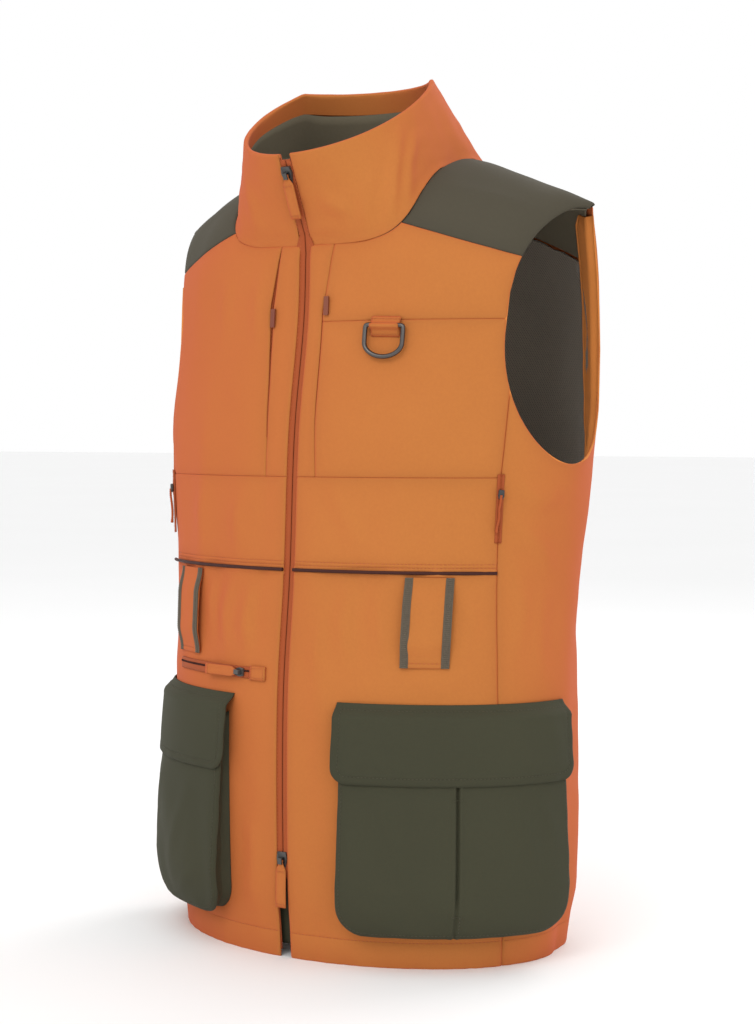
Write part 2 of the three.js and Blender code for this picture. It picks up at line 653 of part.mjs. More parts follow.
// Collar wall at share s round (0 front, 1 back, mirrored beyond), height h up, depth inwards.
function collarPoint(s, h, depth, down = 0) {
  const mirrored = s < 0;
  const share = Math.abs(s);
  const base = collarBase(share);
  const top = collarTop(share);
  const around = collarTop(Math.min(share + 0.02, 1)).sub(collarTop(Math.max(share - 0.02, 0)));
  const up = top.clone().sub(base).normalize();
  const inward = up.clone().cross(around).normalize();
  const middle = new THREE.Vector3(-base.x, -COLLAR_TOP_SET_FORWARD - base.y, 0);
  if (inward.dot(middle) < 0) inward.negate();
  const p = base.lerp(top, h).addScaledVector(inward, depth).addScaledVector(up, -down);
  if (mirrored) p.x = -p.x;
  return p;
}

// u runs from the left front edge round the back to the right front edge.
const collarShare = (u) => {
  const s = mix(frontShare, 2 - frontShare, u);
  return s <= 1 ? s : -(2 - s);
};

function collar() {
  const path = [
    { h: 0, out: [0, 0], in: [CLOTH, 0] },
    { h: 0.5, out: [-COLLAR_BULGE, 0], in: [CLOTH - COLLAR_BULGE, 0] },
    { h: 1, out: [0, 0], in: [CLOTH, CLOTH] },
    { h: 1, out: [COLLAR_WALL, 0], in: [COLLAR_WALL - CLOTH, CLOTH] },
    { h: 1, out: [COLLAR_WALL, COLLAR_FOLD], in: [COLLAR_WALL - CLOTH, COLLAR_FOLD] },
  ];
  const rows = path.map((_, k) => k);
  const outer = layer(COLLAR_COLUMNS, rows, (u, k, side) => {
    const step = path[k];
    const [depth, down] = side ? step.out : step.in;
    return collarPoint(collarShare(u), step.h, depth, down);
  });
  add("collar", outer, ORANGE);
  const depths = [COLLAR_WALL - CLOTH, COLLAR_WALL - CLOTH + LINING];
  const lining = layer(COLLAR_COLUMNS, [0, 1], (u, v, side) => {
    const share = collarShare(u);
    const height = collarTop(Math.abs(share)).distanceTo(collarBase(Math.abs(share)));
    const h = v * (1 - (COLLAR_FOLD + LAYER_GAP) / height);
    return collarPoint(share, h, depths[side]);
  });
  add("collar_lining", lining, OLIVE);
}

// ---- Facings and linings ----------------------------------------------------------------------

function hemFacing() {
  const start = angleOfX(ZIP_GUARD_WIDTH / 2 + 1, 0);
  const shape = {
    from: start,
    to: 360 - start,
    low: 1,
    high: HEM_FACING_HEIGHT,
    outer: FACING_OUTER,
    inner: FACING_INNER,
    columns: 36,
    rows: 1,
  };
  add("hem_facing", wallPanel(shape), ORANGE);
}

// A strip inside the armhole's edge, from the front yoke seam under the arm to the back yoke seam.
function armholeFacing(side, sign) {
  const edge = [];
  for (const z of [mix(ARMHOLE_WIDEST_Z, yokeSeamZ(SHOULDER_TIP), 0.95), ARMHOLE_WIDEST_Z + 35])
    edge.push([armholeAngle(z), z]);
  for (let a = 0; a <= 180; a += 15)
    edge.push([
      ARMHOLE_MIDDLE_ANGLE - ARMHOLE_HALF_ANGLE * Math.cos(radians(a)),
      ARMHOLE_WIDEST_Z - ARMHOLE_LOWER_HEIGHT * Math.sin(radians(a)),
    ]);
  for (const share of [0.25, 0.5, 0.75, 0.92]) {
    const z = mix(ARMHOLE_WIDEST_Z, tipZ, share);
    edge.push([armholeAngle(z, true), z]);
  }
  const spread = (t, z) => wallPoint(t + 0.5, z).distanceTo(wallPoint(t - 0.5, z));
  const rows = edge.map((_, k) => k);
  const facing = layer([0, 0.5, 1], rows, (u, k, side_) => {
    const [t, z] = edge[k];
    const [t0, z0] = edge[Math.max(k - 1, 0)];
    const [t1, z1] = edge[Math.min(k + 1, edge.length - 1)];
    const along = new THREE.Vector2((t1 - t0) * spread(t, z), z1 - z0).normalize();
    const width = u * ARM_FACING_WIDTH;
    const t2 = t + (along.y * width) / spread(t, z);
    const limit = ridgeZ(halfWidth(z) * Math.sin(radians(t2))) - FACING_BELOW_RIDGE;
    const z2 = Math.min(z - along.x * width, limit);
    return onWall(t2, z2, side_ ? FACING_OUTER : FACING_INNER);
  });
  add(`armhole_facing_${side}`, facing, ORANGE, sign);
}

function linings() {
  const edge = ZIP_HALF_WIDTH + ZIP_TAPE_UNDER + 1;
  const frontAngle = ARMHOLE_MIDDLE_ANGLE - ARMHOLE_HALF_ANGLE;
  const backTop = (t) =>
    ridgeZ(halfWidth(tipZ) * Math.sin(radians(t))) -
    BACK_ROLL * (1 - Math.sin(radians(LINING_BACK_TURN)));
  const common = { low: HEM_FACING_HEIGHT - 5, outer: LINING_OUTER, inner: LINING_INNER };
  for (const [side, sign] of Object.entries(SIDES)) {
    const front = {
      ...common,
      from: (z) => angleOfX(edge, z),
      to: ARMHOLE_MIDDLE_ANGLE - HALF_GAP_ANGLE,
      high: (t) =>
        t < frontAngle - 0.05
          ? frontTopZ(t) - LINING_BELOW_SEAM
          : armholeZ(t) - LINING_BELOW_ARMHOLE,
      columns: 12,
      rows: [0, 0.2, 0.4, 0.55, 0.68, 0.78, 0.86, 0.92, 0.96, 1],
      via: frontAngle,
    };
    add(`lining_front_${side}`, wallPanel(front), MESH, sign);
    const neckRow = 0.62;
    const closedRow = 0.76;
    const turnAt = (v, x) =>
      v <= neckRow
        ? mix(yokeSeamTurn(x), YOKE_LINING_NECK_TURN, v / neckRow)
        : mix(YOKE_LINING_CLOSED_TURN, LINING_BACK_TURN - 1, (v - closedRow) / (1 - closedRow));
    const innerX = (turn) => (turn > 110 ? 0.5 : undefined);
    const rows = [0, 0.2, 0.4, neckRow, closedRow, 0.84, 0.92, 1];
    const cloth = shoulderCloth(rows, 8, turnAt, innerX, LINING_OUTER, LINING_INNER);
    add(`yoke_lining_${side}`, cloth, OLIVE, sign);
  }
  const widest = ARMHOLE_HALF_ANGLE / (360 - 2 * ARMHOLE_MIDDLE_ANGLE);
  const half = [0, 0.25, 0.5, 0.75, 1].map((k) => k * widest);
  const middle = steps(14).slice(1, -1).map((k) => mix(widest, 1 - widest, k));
  const back = {
    ...common,
    from: ARMHOLE_MIDDLE_ANGLE + HALF_GAP_ANGLE,
    to: 360 - ARMHOLE_MIDDLE_ANGLE - HALF_GAP_ANGLE,
    high: (t) => {
      const near = Math.min(t, 360 - t);
      const arm = ARMHOLE_MIDDLE_ANGLE + ARMHOLE_HALF_ANGLE;
      return near < arm + 0.2 ? armholeZ(near) - LINING_BELOW_ARMHOLE : backTop(t) - LINING_BELOW_ARMHOLE;
    },
    columns: [...half, ...middle, ...half.map((k) => 1 - k).reverse()],
    rows: [0, 0.2, 0.4, 0.55, 0.66, 0.74, 0.81, 0.87, 0.92, 0.96, 1],
  };
  add("lining_back", wallPanel(back), MESH);
}

// ---- Front zip --------------------------------------------------------------------------------

// Stations up the centre front: a point on the outer surface and the way out of it.
const collarFrontBase = collarPoint(0, 0, 0);
const collarFrontTop = collarPoint(0, 1, 0);
const collarUp = collarFrontTop.clone().sub(collarFrontBase).normalize();
const collarOut = new THREE.Vector3(0, -collarUp.z, collarUp.y);
function frontStation(z) {
  const p = wallPoint(0, z);
  const rise = wallPoint(0, z + 1).sub(wallPoint(0, z - 1)).normalize();
  return { p, out: new THREE.Vector3(0, -rise.z, rise.y) };
}
function collarStation(distance, depth = 0) {
  const p = collarFrontBase.clone().addScaledVector(collarUp, distance);
  return { p: p.addScaledVector(collarOut, -depth), out: collarOut };
}
const collarFrontLength = collarFrontTop.distanceTo(collarFrontBase);
const bodyStations = (from) => {
  const heights = steps(14).map((s) => mix(from, NECK_FRONT_Z - 9, s));
  return [...heights, NECK_FRONT_Z - 3].map(frontStation);
};

// A strip up the centre front, between x0 and x1 and between two depths under the surface.
// From the neck seam up its outer edge is topX1 and its depths are topDepths.
function zipStrip({ from, x0, x1, depths, topX1 = x1, topDepths, topClear }) {
  const low = bodyStations(from);
  const stations = [
    ...low.map((s, i) => ({ ...s, depths, x: i < low.length - 1 ? x1 : topX1 })),
    ...[0.12, 0.5, 1 - topClear / collarFrontLength].map((k) => ({
      ...collarStation(k * collarFrontLength),
      depths: topDepths,
      x: topX1,
    })),
  ];
  const rows = stations.map((_, k) => k);
  return layer([0, 1], rows, (u, k, side) => {
    const station = stations[k];
    const p = station.p.clone().addScaledVector(station.out, -station.depths[1 - side]);
    p.x = mix(x0, station.x, u);
    return p;
  });
}

function frontZip() {
  const tapeDepths = [-TAPE_OUTER, -TAPE_INNER];
  const collarTape = [LAYER_GAP, LAYER_GAP + TAPE];
  for (const [side, sign] of Object.entries(SIDES)) {
    const tape = zipStrip({
      from: ZIP_HEM_CLEARANCE,
      x0: TAPE_FROM_MIDDLE,
      x1: ZIP_HALF_WIDTH + ZIP_TAPE_UNDER,
      topX1: ZIP_HALF_WIDTH - 0.2,
      depths: tapeDepths,
      topDepths: collarTape,
      topClear: 2 * CLOTH,
    });
    add(`zip_tape_${side}`, tape, BURNT, sign);
  }
  const behind = (depths, gap, thickness) => [depths[1] + gap, depths[1] + gap + thickness];
  const coilDepths = behind(tapeDepths, COIL_BEHIND_TAPE, COIL_DEPTH);
  const coil = zipStrip({
    from: ZIP_HEM_CLEARANCE,
    x0: -COIL_WIDTH / 2,
    x1: COIL_WIDTH / 2,
    depths: coilDepths,
    topDepths: behind(collarTape, COIL_BEHIND_TAPE, COIL_DEPTH),
    topClear: 3 * CLOTH,
  });
  add("zip_coil", coil, BURNT);
  const guard = zipStrip({
    x0: -ZIP_GUARD_WIDTH / 2,
    x1: ZIP_GUARD_WIDTH / 2,
    from: ZIP_HEM_CLEARANCE + 3,
    depths: behind(coilDepths, GUARD_SET_IN, LINING),
    topDepths: [COLLAR_GUARD_DEPTH, COLLAR_GUARD_DEPTH + LINING],
    topClear: 2 * CLOTH + 2,
  });
  add("zip_guard", guard, OLIVE);
}

// A slider: a shield-shaped plate with a bridge that holds the pull. Drawn lying on z = 0.
function sliderShape(width, length, depth) {
  const half = width / 2;
  const span = BRIDGE_WINDOW / 2 + BRIDGE_LEG;
  const profile = new THREE.Shape();
  profile.moveTo(-length / 2, 0);
  profile.lineTo(length / 2, 0);
  profile.lineTo(length / 2, depth);
  profile.lineTo(span, depth);
  profile.lineTo(span - 0.6, depth + BRIDGE_HEIGHT);
  profile.lineTo(-span + 0.6, depth + BRIDGE_HEIGHT);
  profile.lineTo(-span, depth);
  profile.lineTo(-length / 2, depth);
  const window_ = new THREE.Path();
  window_.moveTo(-BRIDGE_WINDOW / 2, depth);
  window_.lineTo(BRIDGE_WINDOW / 2, depth);
  window_.lineTo(BRIDGE_WINDOW / 2, depth + BRIDGE_HEIGHT - BRIDGE_BEAM);
  window_.lineTo(-BRIDGE_WINDOW / 2, depth + BRIDGE_HEIGHT - BRIDGE_BEAM);
  const body = extruded(profile, BRIDGE_WIDTH).applyMatrix4(SIDEWAYS);
  body.translate(-BRIDGE_WIDTH / 2, 0, 0);
  const hole = extruded(shapeFrom(window_), BRIDGE_WIDTH + 2).applyMatrix4(SIDEWAYS);
  hole.translate(-BRIDGE_WIDTH / 2 - 1, 0, 0);
  const plate = new THREE.Shape();
  plate.moveTo(-half * 0.55, -length / 2);
  plate.lineTo(half * 0.55, -length / 2);
  plate.lineTo(half, length * 0.1);
  plate.lineTo(half * 0.8, length / 2);
  plate.lineTo(-half * 0.8, length / 2);
  plate.lineTo(-half, length * 0.1);
  return joined([extruded(plate, depth), body], [hole]);
}
const shapeFrom = (path) => new THREE.Shape(path.getPoints());
// Turns a profile drawn as (height up, depth out) and extruded along z to run along x.
const SIDEWAYS = new THREE.Matrix4().set(0, 0, 1, 0, 1, 0, 0, 0, 0, 1, 0, 0, 0, 0, 0, 1);

function extruded(shape, depth) {
  return new THREE.ExtrudeGeometry(shape, { depth, bevelEnabled: false, curveSegments: 8 });
}

// A pull: a strap with a slot for the bridge near its upper end, hanging down from y = 0.
function pullShape(width, length) {
  const half = width / 2;
  const slotHalf = PULL_SLOT_WIDTH / 2;
  const slotTop = -PULL_EYE / 2;
  const strap = new THREE.Shape();
  strap.moveTo(-half, PULL_EYE / 2);
  strap.lineTo(-half, -length + 3);
  strap.lineTo(-half + 2, -length);
  strap.lineTo(half - 2, -length);
  strap.lineTo(half, -length + 3);
  strap.lineTo(half, PULL_EYE / 2);
  const slot = new THREE.Path();
  slot.moveTo(-slotHalf, slotTop);
  slot.lineTo(slotHalf, slotTop);
  slot.lineTo(slotHalf, slotTop - PULL_SLOT_LENGTH);
  slot.lineTo(-slotHalf, slotTop - PULL_SLOT_LENGTH);
  strap.holes.push(slot);
  return extruded(strap, PULL_THICKNESS).translate(0, 0, -PULL_THICKNESS / 2);
}

function zipSliders() {
  const rides = TAPE_OUTER + SLIDER_RIDES;
  const eye = rides + SLIDER_DEPTH + (BRIDGE_HEIGHT - BRIDGE_BEAM) / 2;
  const onBody = (station, depth) => {
    const across = new THREE.Vector3(1, 0, 0);
    const up = new THREE.Vector3().crossVectors(station.out, across);
    const p = station.p.clone().addScaledVector(station.out, depth);
    return new THREE.Matrix4().makeBasis(across, up, station.out).setPosition(p);
  };
  const places = {
    bottom: [frontStation(BOTTOM_SLIDER_HEIGHT), 0, BOTTOM_PULL_LENGTH],
    top: [
      collarStation(collarFrontLength - TOP_SLIDER_BELOW_EDGE),
      -LAYER_GAP - TAPE_OUTER,
      TOP_PULL_LENGTH,
    ],
  };
  for (const [name, [station, lift, length]] of Object.entries(places)) {
    const slider = sliderShape(SLIDER_WIDTH, SLIDER_LENGTH, SLIDER_DEPTH);
    add(`${name}_slider`, slider.applyMatrix4(onBody(station, rides + lift)), BLACK);
    const pull = pullShape(SLIDER_WIDTH, length);
    add(`${name}_pull`, pull.applyMatrix4(onBody(station, eye + lift)), ORANGE);
  }
}

// ---- Small zips -------------------------------------------------------------------------------

// A slider with a fixed cord pull: a neck between the lips and a tab hanging outside them.
function smallSlider(neckWidth, neckBottom, tabLength, lift) {
  const neckTop = lift + 0.8;
  const neck = new THREE.BoxGeometry(neckWidth, TAB_NECK_LENGTH, neckTop - neckBottom);
  neck.translate(0, 0, (neckTop + neckBottom) / 2);
  const tab = new THREE.BoxGeometry(TAB_WIDTH, tabLength, TAB_THICKNESS);
  tab.translate(0, (TAB_NECK_LENGTH - tabLength) / 2, lift + TAB_THICKNESS / 2);
  return joined([neck, tab], []);
}

function chestZip(side, sign) {
  const x = CHEST_ZIP_PLACE[side];
  const [low, high] = CHEST_ZIP_HEIGHTS.map((h) => LOWER_CHEST_Z + h);
  const shape = {
    from: (z) => angleOfX(x - CHEST_TAPE_HALF_WIDTH, z),
    to: (z) => angleOfX(x + CHEST_TAPE_HALF_WIDTH, z),
    low,
    high,
    outer: -(CLOTH + CHEST_TAPE_SET_IN),
    inner: -(CLOTH + CHEST_TAPE_SET_IN + CHEST_TAPE),
    columns: 1,
    rows: 10,
  };
  add(`chest_zip_${side}`, wallPanel(shape), BURNT, sign);
  const z = LOWER_CHEST_Z + CHEST_SLIDER_AT[side];
  const slider = smallSlider(CHEST_NECK_WIDTH, -CLOTH, CHEST_TAB_LENGTH, CHEST_TAB_LIFT);
  const at = placed(slider, wallPoint, angleOfX(x, z), z, 0);
  add(`chest_slider_${side}`, at, PIPING, sign);
}

function sideZip(side, sign) {
  const [low, high] = SIDE_ZIP_HEIGHTS.map((h) => WAIST_Z + h);
  const shape = {
    from: (z) => sideSeamAngle(z) - SIDE_ZIP_HALF_ANGLE,
    to: (z) => sideSeamAngle(z) + SIDE_ZIP_HALF_ANGLE,
    low,
    high,
    outer: LAYER_GAP + 1,
    inner: LAYER_GAP,
    columns: 1,
    rows: 2,
  };
  add(`side_zip_${side}`, wallPanel(shape), BURNT, sign);
  const z = WAIST_Z + SIDE_SLIDER_AT;
  const bottom = 2 * LAYER_GAP + 1;
  const slider = smallSlider(SIDE_NECK_WIDTH, bottom, SIDE_TAB_LENGTH, bottom + 1);
  add(`side_slider_${side}`, placed(slider, wallPoint, sideSeamAngle(z), z, 0), BLACK, sign);
}

// The level zip of the map pocket, on the wearer's right under the waist seam.
function mapZip() {
  const z = WAIST_Z - MAP_ZIP_HEIGHT;
  const [near, far] = MAP_ZIP_PLACE.map((arc) => angleOfArc(arc, z));
  const band = {
    low: z - MAP_ZIP_HALF_HEIGHT,
    high: z + MAP_ZIP_HALF_HEIGHT,
    outer: LAYER_GAP + 1,
    inner: LAYER_GAP,
    rows: 1,
  };
  add("map_zip", wallPanel({ ...band, from: near, to: far, columns: 5 }), BURNT, -1);
  const sliderAngle = angleOfArc(MAP_SLIDER_AT, z);
  const lift = 2 * LAYER_GAP + 1;
  const turn = new THREE.Matrix4().makeRotationZ(Math.PI / 2);
  const slider = sliderShape(...MAP_SLIDER).applyMatrix4(turn);
  add("map_slider", placed(slider, wallPoint, sliderAngle, z, lift), BLACK, -1);
  const eye = lift + MAP_SLIDER[2] + (BRIDGE_HEIGHT - BRIDGE_BEAM) / 2;
  const pull = pullShape(MAP_PULL[0], MAP_PULL[1]).applyMatrix4(turn);
  add("map_pull", placed(pull, wallPoint, sliderAngle, z, eye), ORANGE, -1);
  const tab = {
    from: angleOfArc(MAP_ZIP_PLACE[0] - MAP_TAB[0], z),
    to: angleOfArc(MAP_ZIP_PLACE[0] - SEAM_GAP, z),
    low: z - MAP_TAB[1] / 2,
    high: z + MAP_TAB[1] / 2,
    outer: LAYER_GAP + 1.4,
    inner: LAYER_GAP,
    columns: 1,
    rows: 1,
  };
  add("map_zip_end_tab", wallPanel(tab), ORANGE, -1);
}

// ---- Piping, gear loops and ring --------------------------------------------------------------

// A tube through points, with a round section of so many sides.
function tube(points, radius, sides, normals, closed = false) {
  const count = points.length;
  const rings = points.map((p, i) => {
    const next = points[closed ? (i + 1) % count : Math.min(i + 1, count - 1)];
    const last = points[closed ? (i + count - 1) % count : Math.max(i - 1, 0)];
    const along = next.clone().sub(last).normalize();
    const up = normals[i].clone();
    const across = new THREE.Vector3().crossVectors(along, up).normalize();
    up.crossVectors(across, along).normalize();
    return Array.from({ length: sides }, (_, k) => {
      const a = (2 * Math.PI * k) / sides;
      const ring = p.clone().addScaledVector(across, radius * Math.cos(a));
      return ring.addScaledVector(up, radius * Math.sin(a));
    });
  });
  const faces = [];
  const last = closed ? count : count - 1;
  for (let i = 0; i < last; i++)
    for (let k = 0; k < sides; k++) {
      const j = (i + 1) % count;
      const m = (k + 1) % sides;
      const [a, b, c, d] = [i * sides + k, j * sides + k, j * sides + m, i * sides + m];
      faces.push([a, b, c], [a, c, d]);
    }
  if (!closed)
    for (let k = 1; k + 1 < sides; k++) {
      const end = (count - 1) * sides;
      faces.push([0, k, k + 1], [end, end + k + 1, end + k]);
    }
  return closedMesh(rings.flat(), faces);
}

function waistPiping(side, sign) {
  const lift = PIPING_RADIUS + SEAM_GAP;
  const points = [];
  const normals = [];
  const from = zipEdge(WAIST_Z) + HALF_GAP_ANGLE;
  const to = sideSeamAngle(WAIST_Z) - HALF_GAP_ANGLE;
  for (const s of steps(12)) {
    const t = mix(from, to, s);
    const p = onWall(t, WAIST_Z, lift);
    points.push(p);
    normals.push(onWall(t, WAIST_Z, lift + 1).sub(p));
  }
  add(`waist_piping_${side}`, tube(points, PIPING_RADIUS, 8, normals), PIPING, sign);
}

const loopTop = WAIST_Z - 2 * PIPING_RADIUS - 1;
// How far the gear loop stands off the vest at height z.
function loopStand(z) {
  const s = clamp((loopTop - z) / GEAR_LOOP_HEIGHT, 0, 1);
  const rise = clamp(Math.min(s, 1 - s) / GEAR_LOOP_RISE - 0.25, 0, 1);
  return LAYER_GAP + GEAR_LOOP_STAND * rise;
}
function gearLoop(side, sign) {
  const middle = loopTop - GEAR_LOOP_HEIGHT / 2;
  const at = (arc) => angleOfArc(GEAR_LOOP_PLACE + arc, middle);
  const rows = [0, 0.03, 0.09, 0.16, 0.5, 0.84, 0.91, 0.97, 1];
  const gap = SEAM_GAP / 2;
  const strip = (from, to, thick, columns = 1) =>
    wallPanel({
      from: at(from),
      to: at(to),
      low: loopTop - GEAR_LOOP_HEIGHT,
      high: loopTop,
      outer: (t, z) => loopStand(z) + thick,
      inner: (t, z) => loopStand(z),
      columns,
      rows,
    });
  const tape = GEAR_TAPE_WIDTH;
  const middleStrip = strip(tape + gap, GEAR_LOOP_WIDTH - tape - gap, CLOTH, 3);
  add(`gear_loop_${side}`, middleStrip, ORANGE, sign);
  add(`gear_loop_inner_tape_${side}`, strip(0, tape - gap, CLOTH + GEAR_TAPE_PROUD), GREY_TAPE, sign);
  const outer = strip(GEAR_LOOP_WIDTH - tape + gap, GEAR_LOOP_WIDTH, CLOTH + GEAR_TAPE_PROUD);
  add(`gear_loop_outer_tape_${side}`, outer, GREY_TAPE, sign);
}

function ringAndTab() {
  const z = UPPER_CHEST_Z - RING_TAB_HEIGHT / 2 + RING_TAB_ABOVE_SEAM;
  const angle = angleOfArc(RING_PLACE, z);
  const eye = RING_WIRE + 1.2; // clear room for the wire inside the folded tab
  const eyeY = -RING_EYE_DOWN;
  const half = RING_TAB_HEIGHT / 2;
  const profile = new THREE.Shape();
  profile.moveTo(-half, 0);
  profile.lineTo(half, 0);
  profile.lineTo(half, 2);
  profile.lineTo(eyeY + eye / 2 + 2, eye + 2 * CLOTH);
  profile.lineTo(-half + 1, eye + 2 * CLOTH);
  profile.lineTo(-half, eye + CLOTH);
  const hole = new THREE.Path();
  hole.moveTo(eyeY - eye / 2, CLOTH);
  hole.lineTo(eyeY + eye / 2, CLOTH);
  hole.lineTo(eyeY + eye / 2, CLOTH + eye);
  hole.lineTo(eyeY - eye / 2, CLOTH + eye);
  profile.holes.push(hole);
  const tab = extruded(profile, RING_TAB_WIDTH).applyMatrix4(SIDEWAYS);
  tab.translate(-RING_TAB_WIDTH / 2, 0, 0);
  add("ring_tab", placed(tab, wallPoint, angle, z, RING_TAB_LIFT), ORANGE);
  const w = (RING_WIDTH - RING_WIRE) / 2;
  const h = RING_HEIGHT - RING_WIRE;
  const corner = RING_CORNER;
  const bowl = RING_BOWL;
  const outline = new THREE.Path();
  outline.moveTo(-w + corner, 0);
  outline.lineTo(w - corner, 0);
  outline.quadraticCurveTo(w, 0, w, -corner);
  outline.lineTo(w, -h + bowl);
  outline.bezierCurveTo(w, -h + bowl / 2.4, w - bowl / 2, -h, w - bowl, -h);
  outline.lineTo(-w + bowl, -h);
  outline.bezierCurveTo(-w + bowl / 2, -h, -w, -h + bowl / 2.4, -w, -h + bowl);
  outline.lineTo(-w, -corner);
  outline.quadraticCurveTo(-w, 0, -w + corner, 0);
  const flat = outline.getPoints(5);
  const loop = flat
    .filter((p, i) => i === 0 || p.distanceTo(flat[i - 1]) > 0.2)
    .filter((p, i, all) => i < all.length - 1 || p.distanceTo(all[0]) > 0.2)
    .map((p) => new THREE.Vector3(p.x, p.y, 0));
  const up = loop.map(() => new THREE.Vector3(0, 0, 1));
  const ring = tube(loop, RING_WIRE / 2, 8, up, true);
  ring.translate(0, eyeY, RING_TAB_LIFT + CLOTH + eye / 2);
  add("d_ring", placed(ring, wallPoint, angle, z, 0), GUNMETAL);
}

// ---- Bellows pockets --------------------------------------------------------------------------

// Clear depth behind the pocket's front at height z.
function pocketDepth(z) {
  if (z > POCKET_FULLEST) {
    const s = (z - POCKET_FULLEST) / (POCKET_TOP - POCKET_FULLEST);
    return mix(POCKET_DEPTH_BOTTOM, POCKET_DEPTH_TOP, clamp(s, 0, 1));
  }
  const s = clamp((POCKET_FULLEST - z) / (POCKET_FULLEST - POCKET_BOTTOM), 0, 1);
  return mix(POCKET_DEPTH_BOTTOM, POCKET_DEPTH_BOTTOM * 0.75, s * s);
}
// Lower edge with rounded corners: height above base at a distance from the nearer side.
const roundedEdge = (distance, corner) => {
  const k = clamp(1 - distance / corner, 0, 1);
  return corner * (1 - Math.sqrt(1 - k * k));
};
const middlePocketZ = (POCKET_TOP + POCKET_BOTTOM) / 2;
const pocketAngle = (arc) => angleOfArc(POCKET_PLACE + arc, middlePocketZ);

// Angles for a list of distances across a pocket, so that a panel's columns meet its corners.
const cornerSteps = (width, corner, middle) => {
  const ends = [0, 0.1, 0.35, 1].map((k) => (k * corner) / width);
  const inner = Array.from({ length: middle - 1 }, (_, i) =>
    mix(corner / width, 1 - corner / width, (i + 1) / middle),
  );
  return [...ends, ...inner, ...ends.map((k) => 1 - k).reverse()];
};

function pocket(side, sign) {
  const columns = cornerSteps(POCKET_WIDTH, POCKET_CORNER, 5);
  const angles = new Map(columns.map((u) => [u, pocketAngle(u * POCKET_WIDTH)]));
  const front = layer(columns, 6, (u, v, side_) => {
    const across = u * POCKET_WIDTH;
    const edge = Math.min(across, POCKET_WIDTH - across);
    const z = mix(POCKET_BOTTOM + roundedEdge(edge, POCKET_CORNER), POCKET_TOP, v);
    const depth = pocketDepth(z) + SEAM_GAP;
    return onWall(angles.get(u), z, side_ ? depth + CLOTH : depth);
  });
  add(`pocket_front_${side}`, front, OLIVE, sign);

  // The gusset's path: down one side, round the corners along the bottom and up the other side.
  const path = [];
  const straight = POCKET_BOTTOM + POCKET_CORNER;
  for (const z of [POCKET_TOP, mix(POCKET_TOP, straight, 0.5)]) path.push([0, z, 1, 0]);
  for (const a of [0, 30, 60, 90]) path.push(cornerPoint(a, false));
  for (const k of [1, 2, 3, 4, 5, 6, 7])
    path.push([mix(POCKET_CORNER, POCKET_WIDTH - POCKET_CORNER, k / 8), POCKET_BOTTOM, 0, 1]);
  for (const a of [90, 60, 30, 0]) path.push(cornerPoint(a, true));
  for (const z of [mix(POCKET_TOP, straight, 0.5), POCKET_TOP]) path.push([POCKET_WIDTH, z, -1, 0]);
  const rows = path.map((_, k) => k);
  const gusset = layer([0, 1], rows, (u, k, side_) => {
    const [across, z, inX, inZ] = path[k];
    const inset = side_ ? SEAM_GAP : SEAM_GAP + CLOTH;
    const depth = mix(GUSSET_CLEAR, pocketDepth(z) - GUSSET_CLEAR, u);
    return onWall(pocketAngle(across + inX * inset), z + inZ * inset, depth);
  });
  add(`pocket_gusset_${side}`, gusset, OLIVE, sign);
}
function cornerPoint(angle, far) {
  const c = Math.cos(radians(angle));
  const s = Math.sin(radians(angle));
  const across = POCKET_CORNER * (1 - c);
  const z = POCKET_BOTTOM + POCKET_CORNER * (1 - s);
  return [far ? POCKET_WIDTH - across : across, z, far ? -c : c, s];
}

function pocketFlap(side, sign) {
  const width = POCKET_WIDTH + 2 * FLAP_OVERHANG;
  const columns = cornerSteps(width, FLAP_CORNER, 6);
  const angles = new Map(columns.map((u) => [u, pocketAngle(u * width - FLAP_OVERHANG)]));
  const turnDown = POCKET_TOP + FLAP_TURN_ABOVE_POCKET;
  const stand = (z) => {
    const full = pocketDepth(Math.min(z, POCKET_TOP)) + CLOTH + FLAP_CLEARANCE;
    return mix(full, 1, clamp((z - turnDown) / (FLAP_TOP - turnDown), 0, 1));
  };
  const rows = [0, 0.25, 0.5, 0.78, (turnDown - FLAP_BOTTOM) / (FLAP_TOP - FLAP_BOTTOM), 1];
  const flap = layer(columns, rows, (u, v, side_) => {
    const across = u * width;
    const edge = Math.min(across, width - across);
    const z = mix(FLAP_BOTTOM + roundedEdge(edge, FLAP_CORNER), FLAP_TOP, v);
    return onWall(angles.get(u), z, stand(z) + (side_ ? CLOTH : 0));
  });
  add(`pocket_flap_${side}`, flap, OLIVE, sign);
}

// ---- Assembly ---------------------------------------------------------------------------------

for (const [side, sign] of Object.entries(SIDES)) {
  frontPanels(side, sign);
  sidePanel(side, sign);
  yoke(side, sign);
  armholeFacing(side, sign);
  chestZip(side, sign);
  sideZip(side, sign);
  waistPiping(side, sign);
  gearLoop(side, sign);
  pocket(side, sign);
  pocketFlap(side, sign);
}
backPanel();
collar();
hemFacing();
linings();
frontZip();
zipSliders();
mapZip();
ringAndTab();

// The frame's origin is the middle of the vest's box, at the height of the hem.
const box = new THREE.Box3().setFromObject(vest);
const part = new THREE.Group();
vest.position.set(0, -(box.min.y + box.max.y) / 2, 0);
part.add(vest);

export default part;
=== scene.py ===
"""A sleeveless field vest with a stand collar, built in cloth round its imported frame.

Every cloth piece lies on one torso surface, in millimetres, and is put down in metres in the frame.
"""

import json
import math

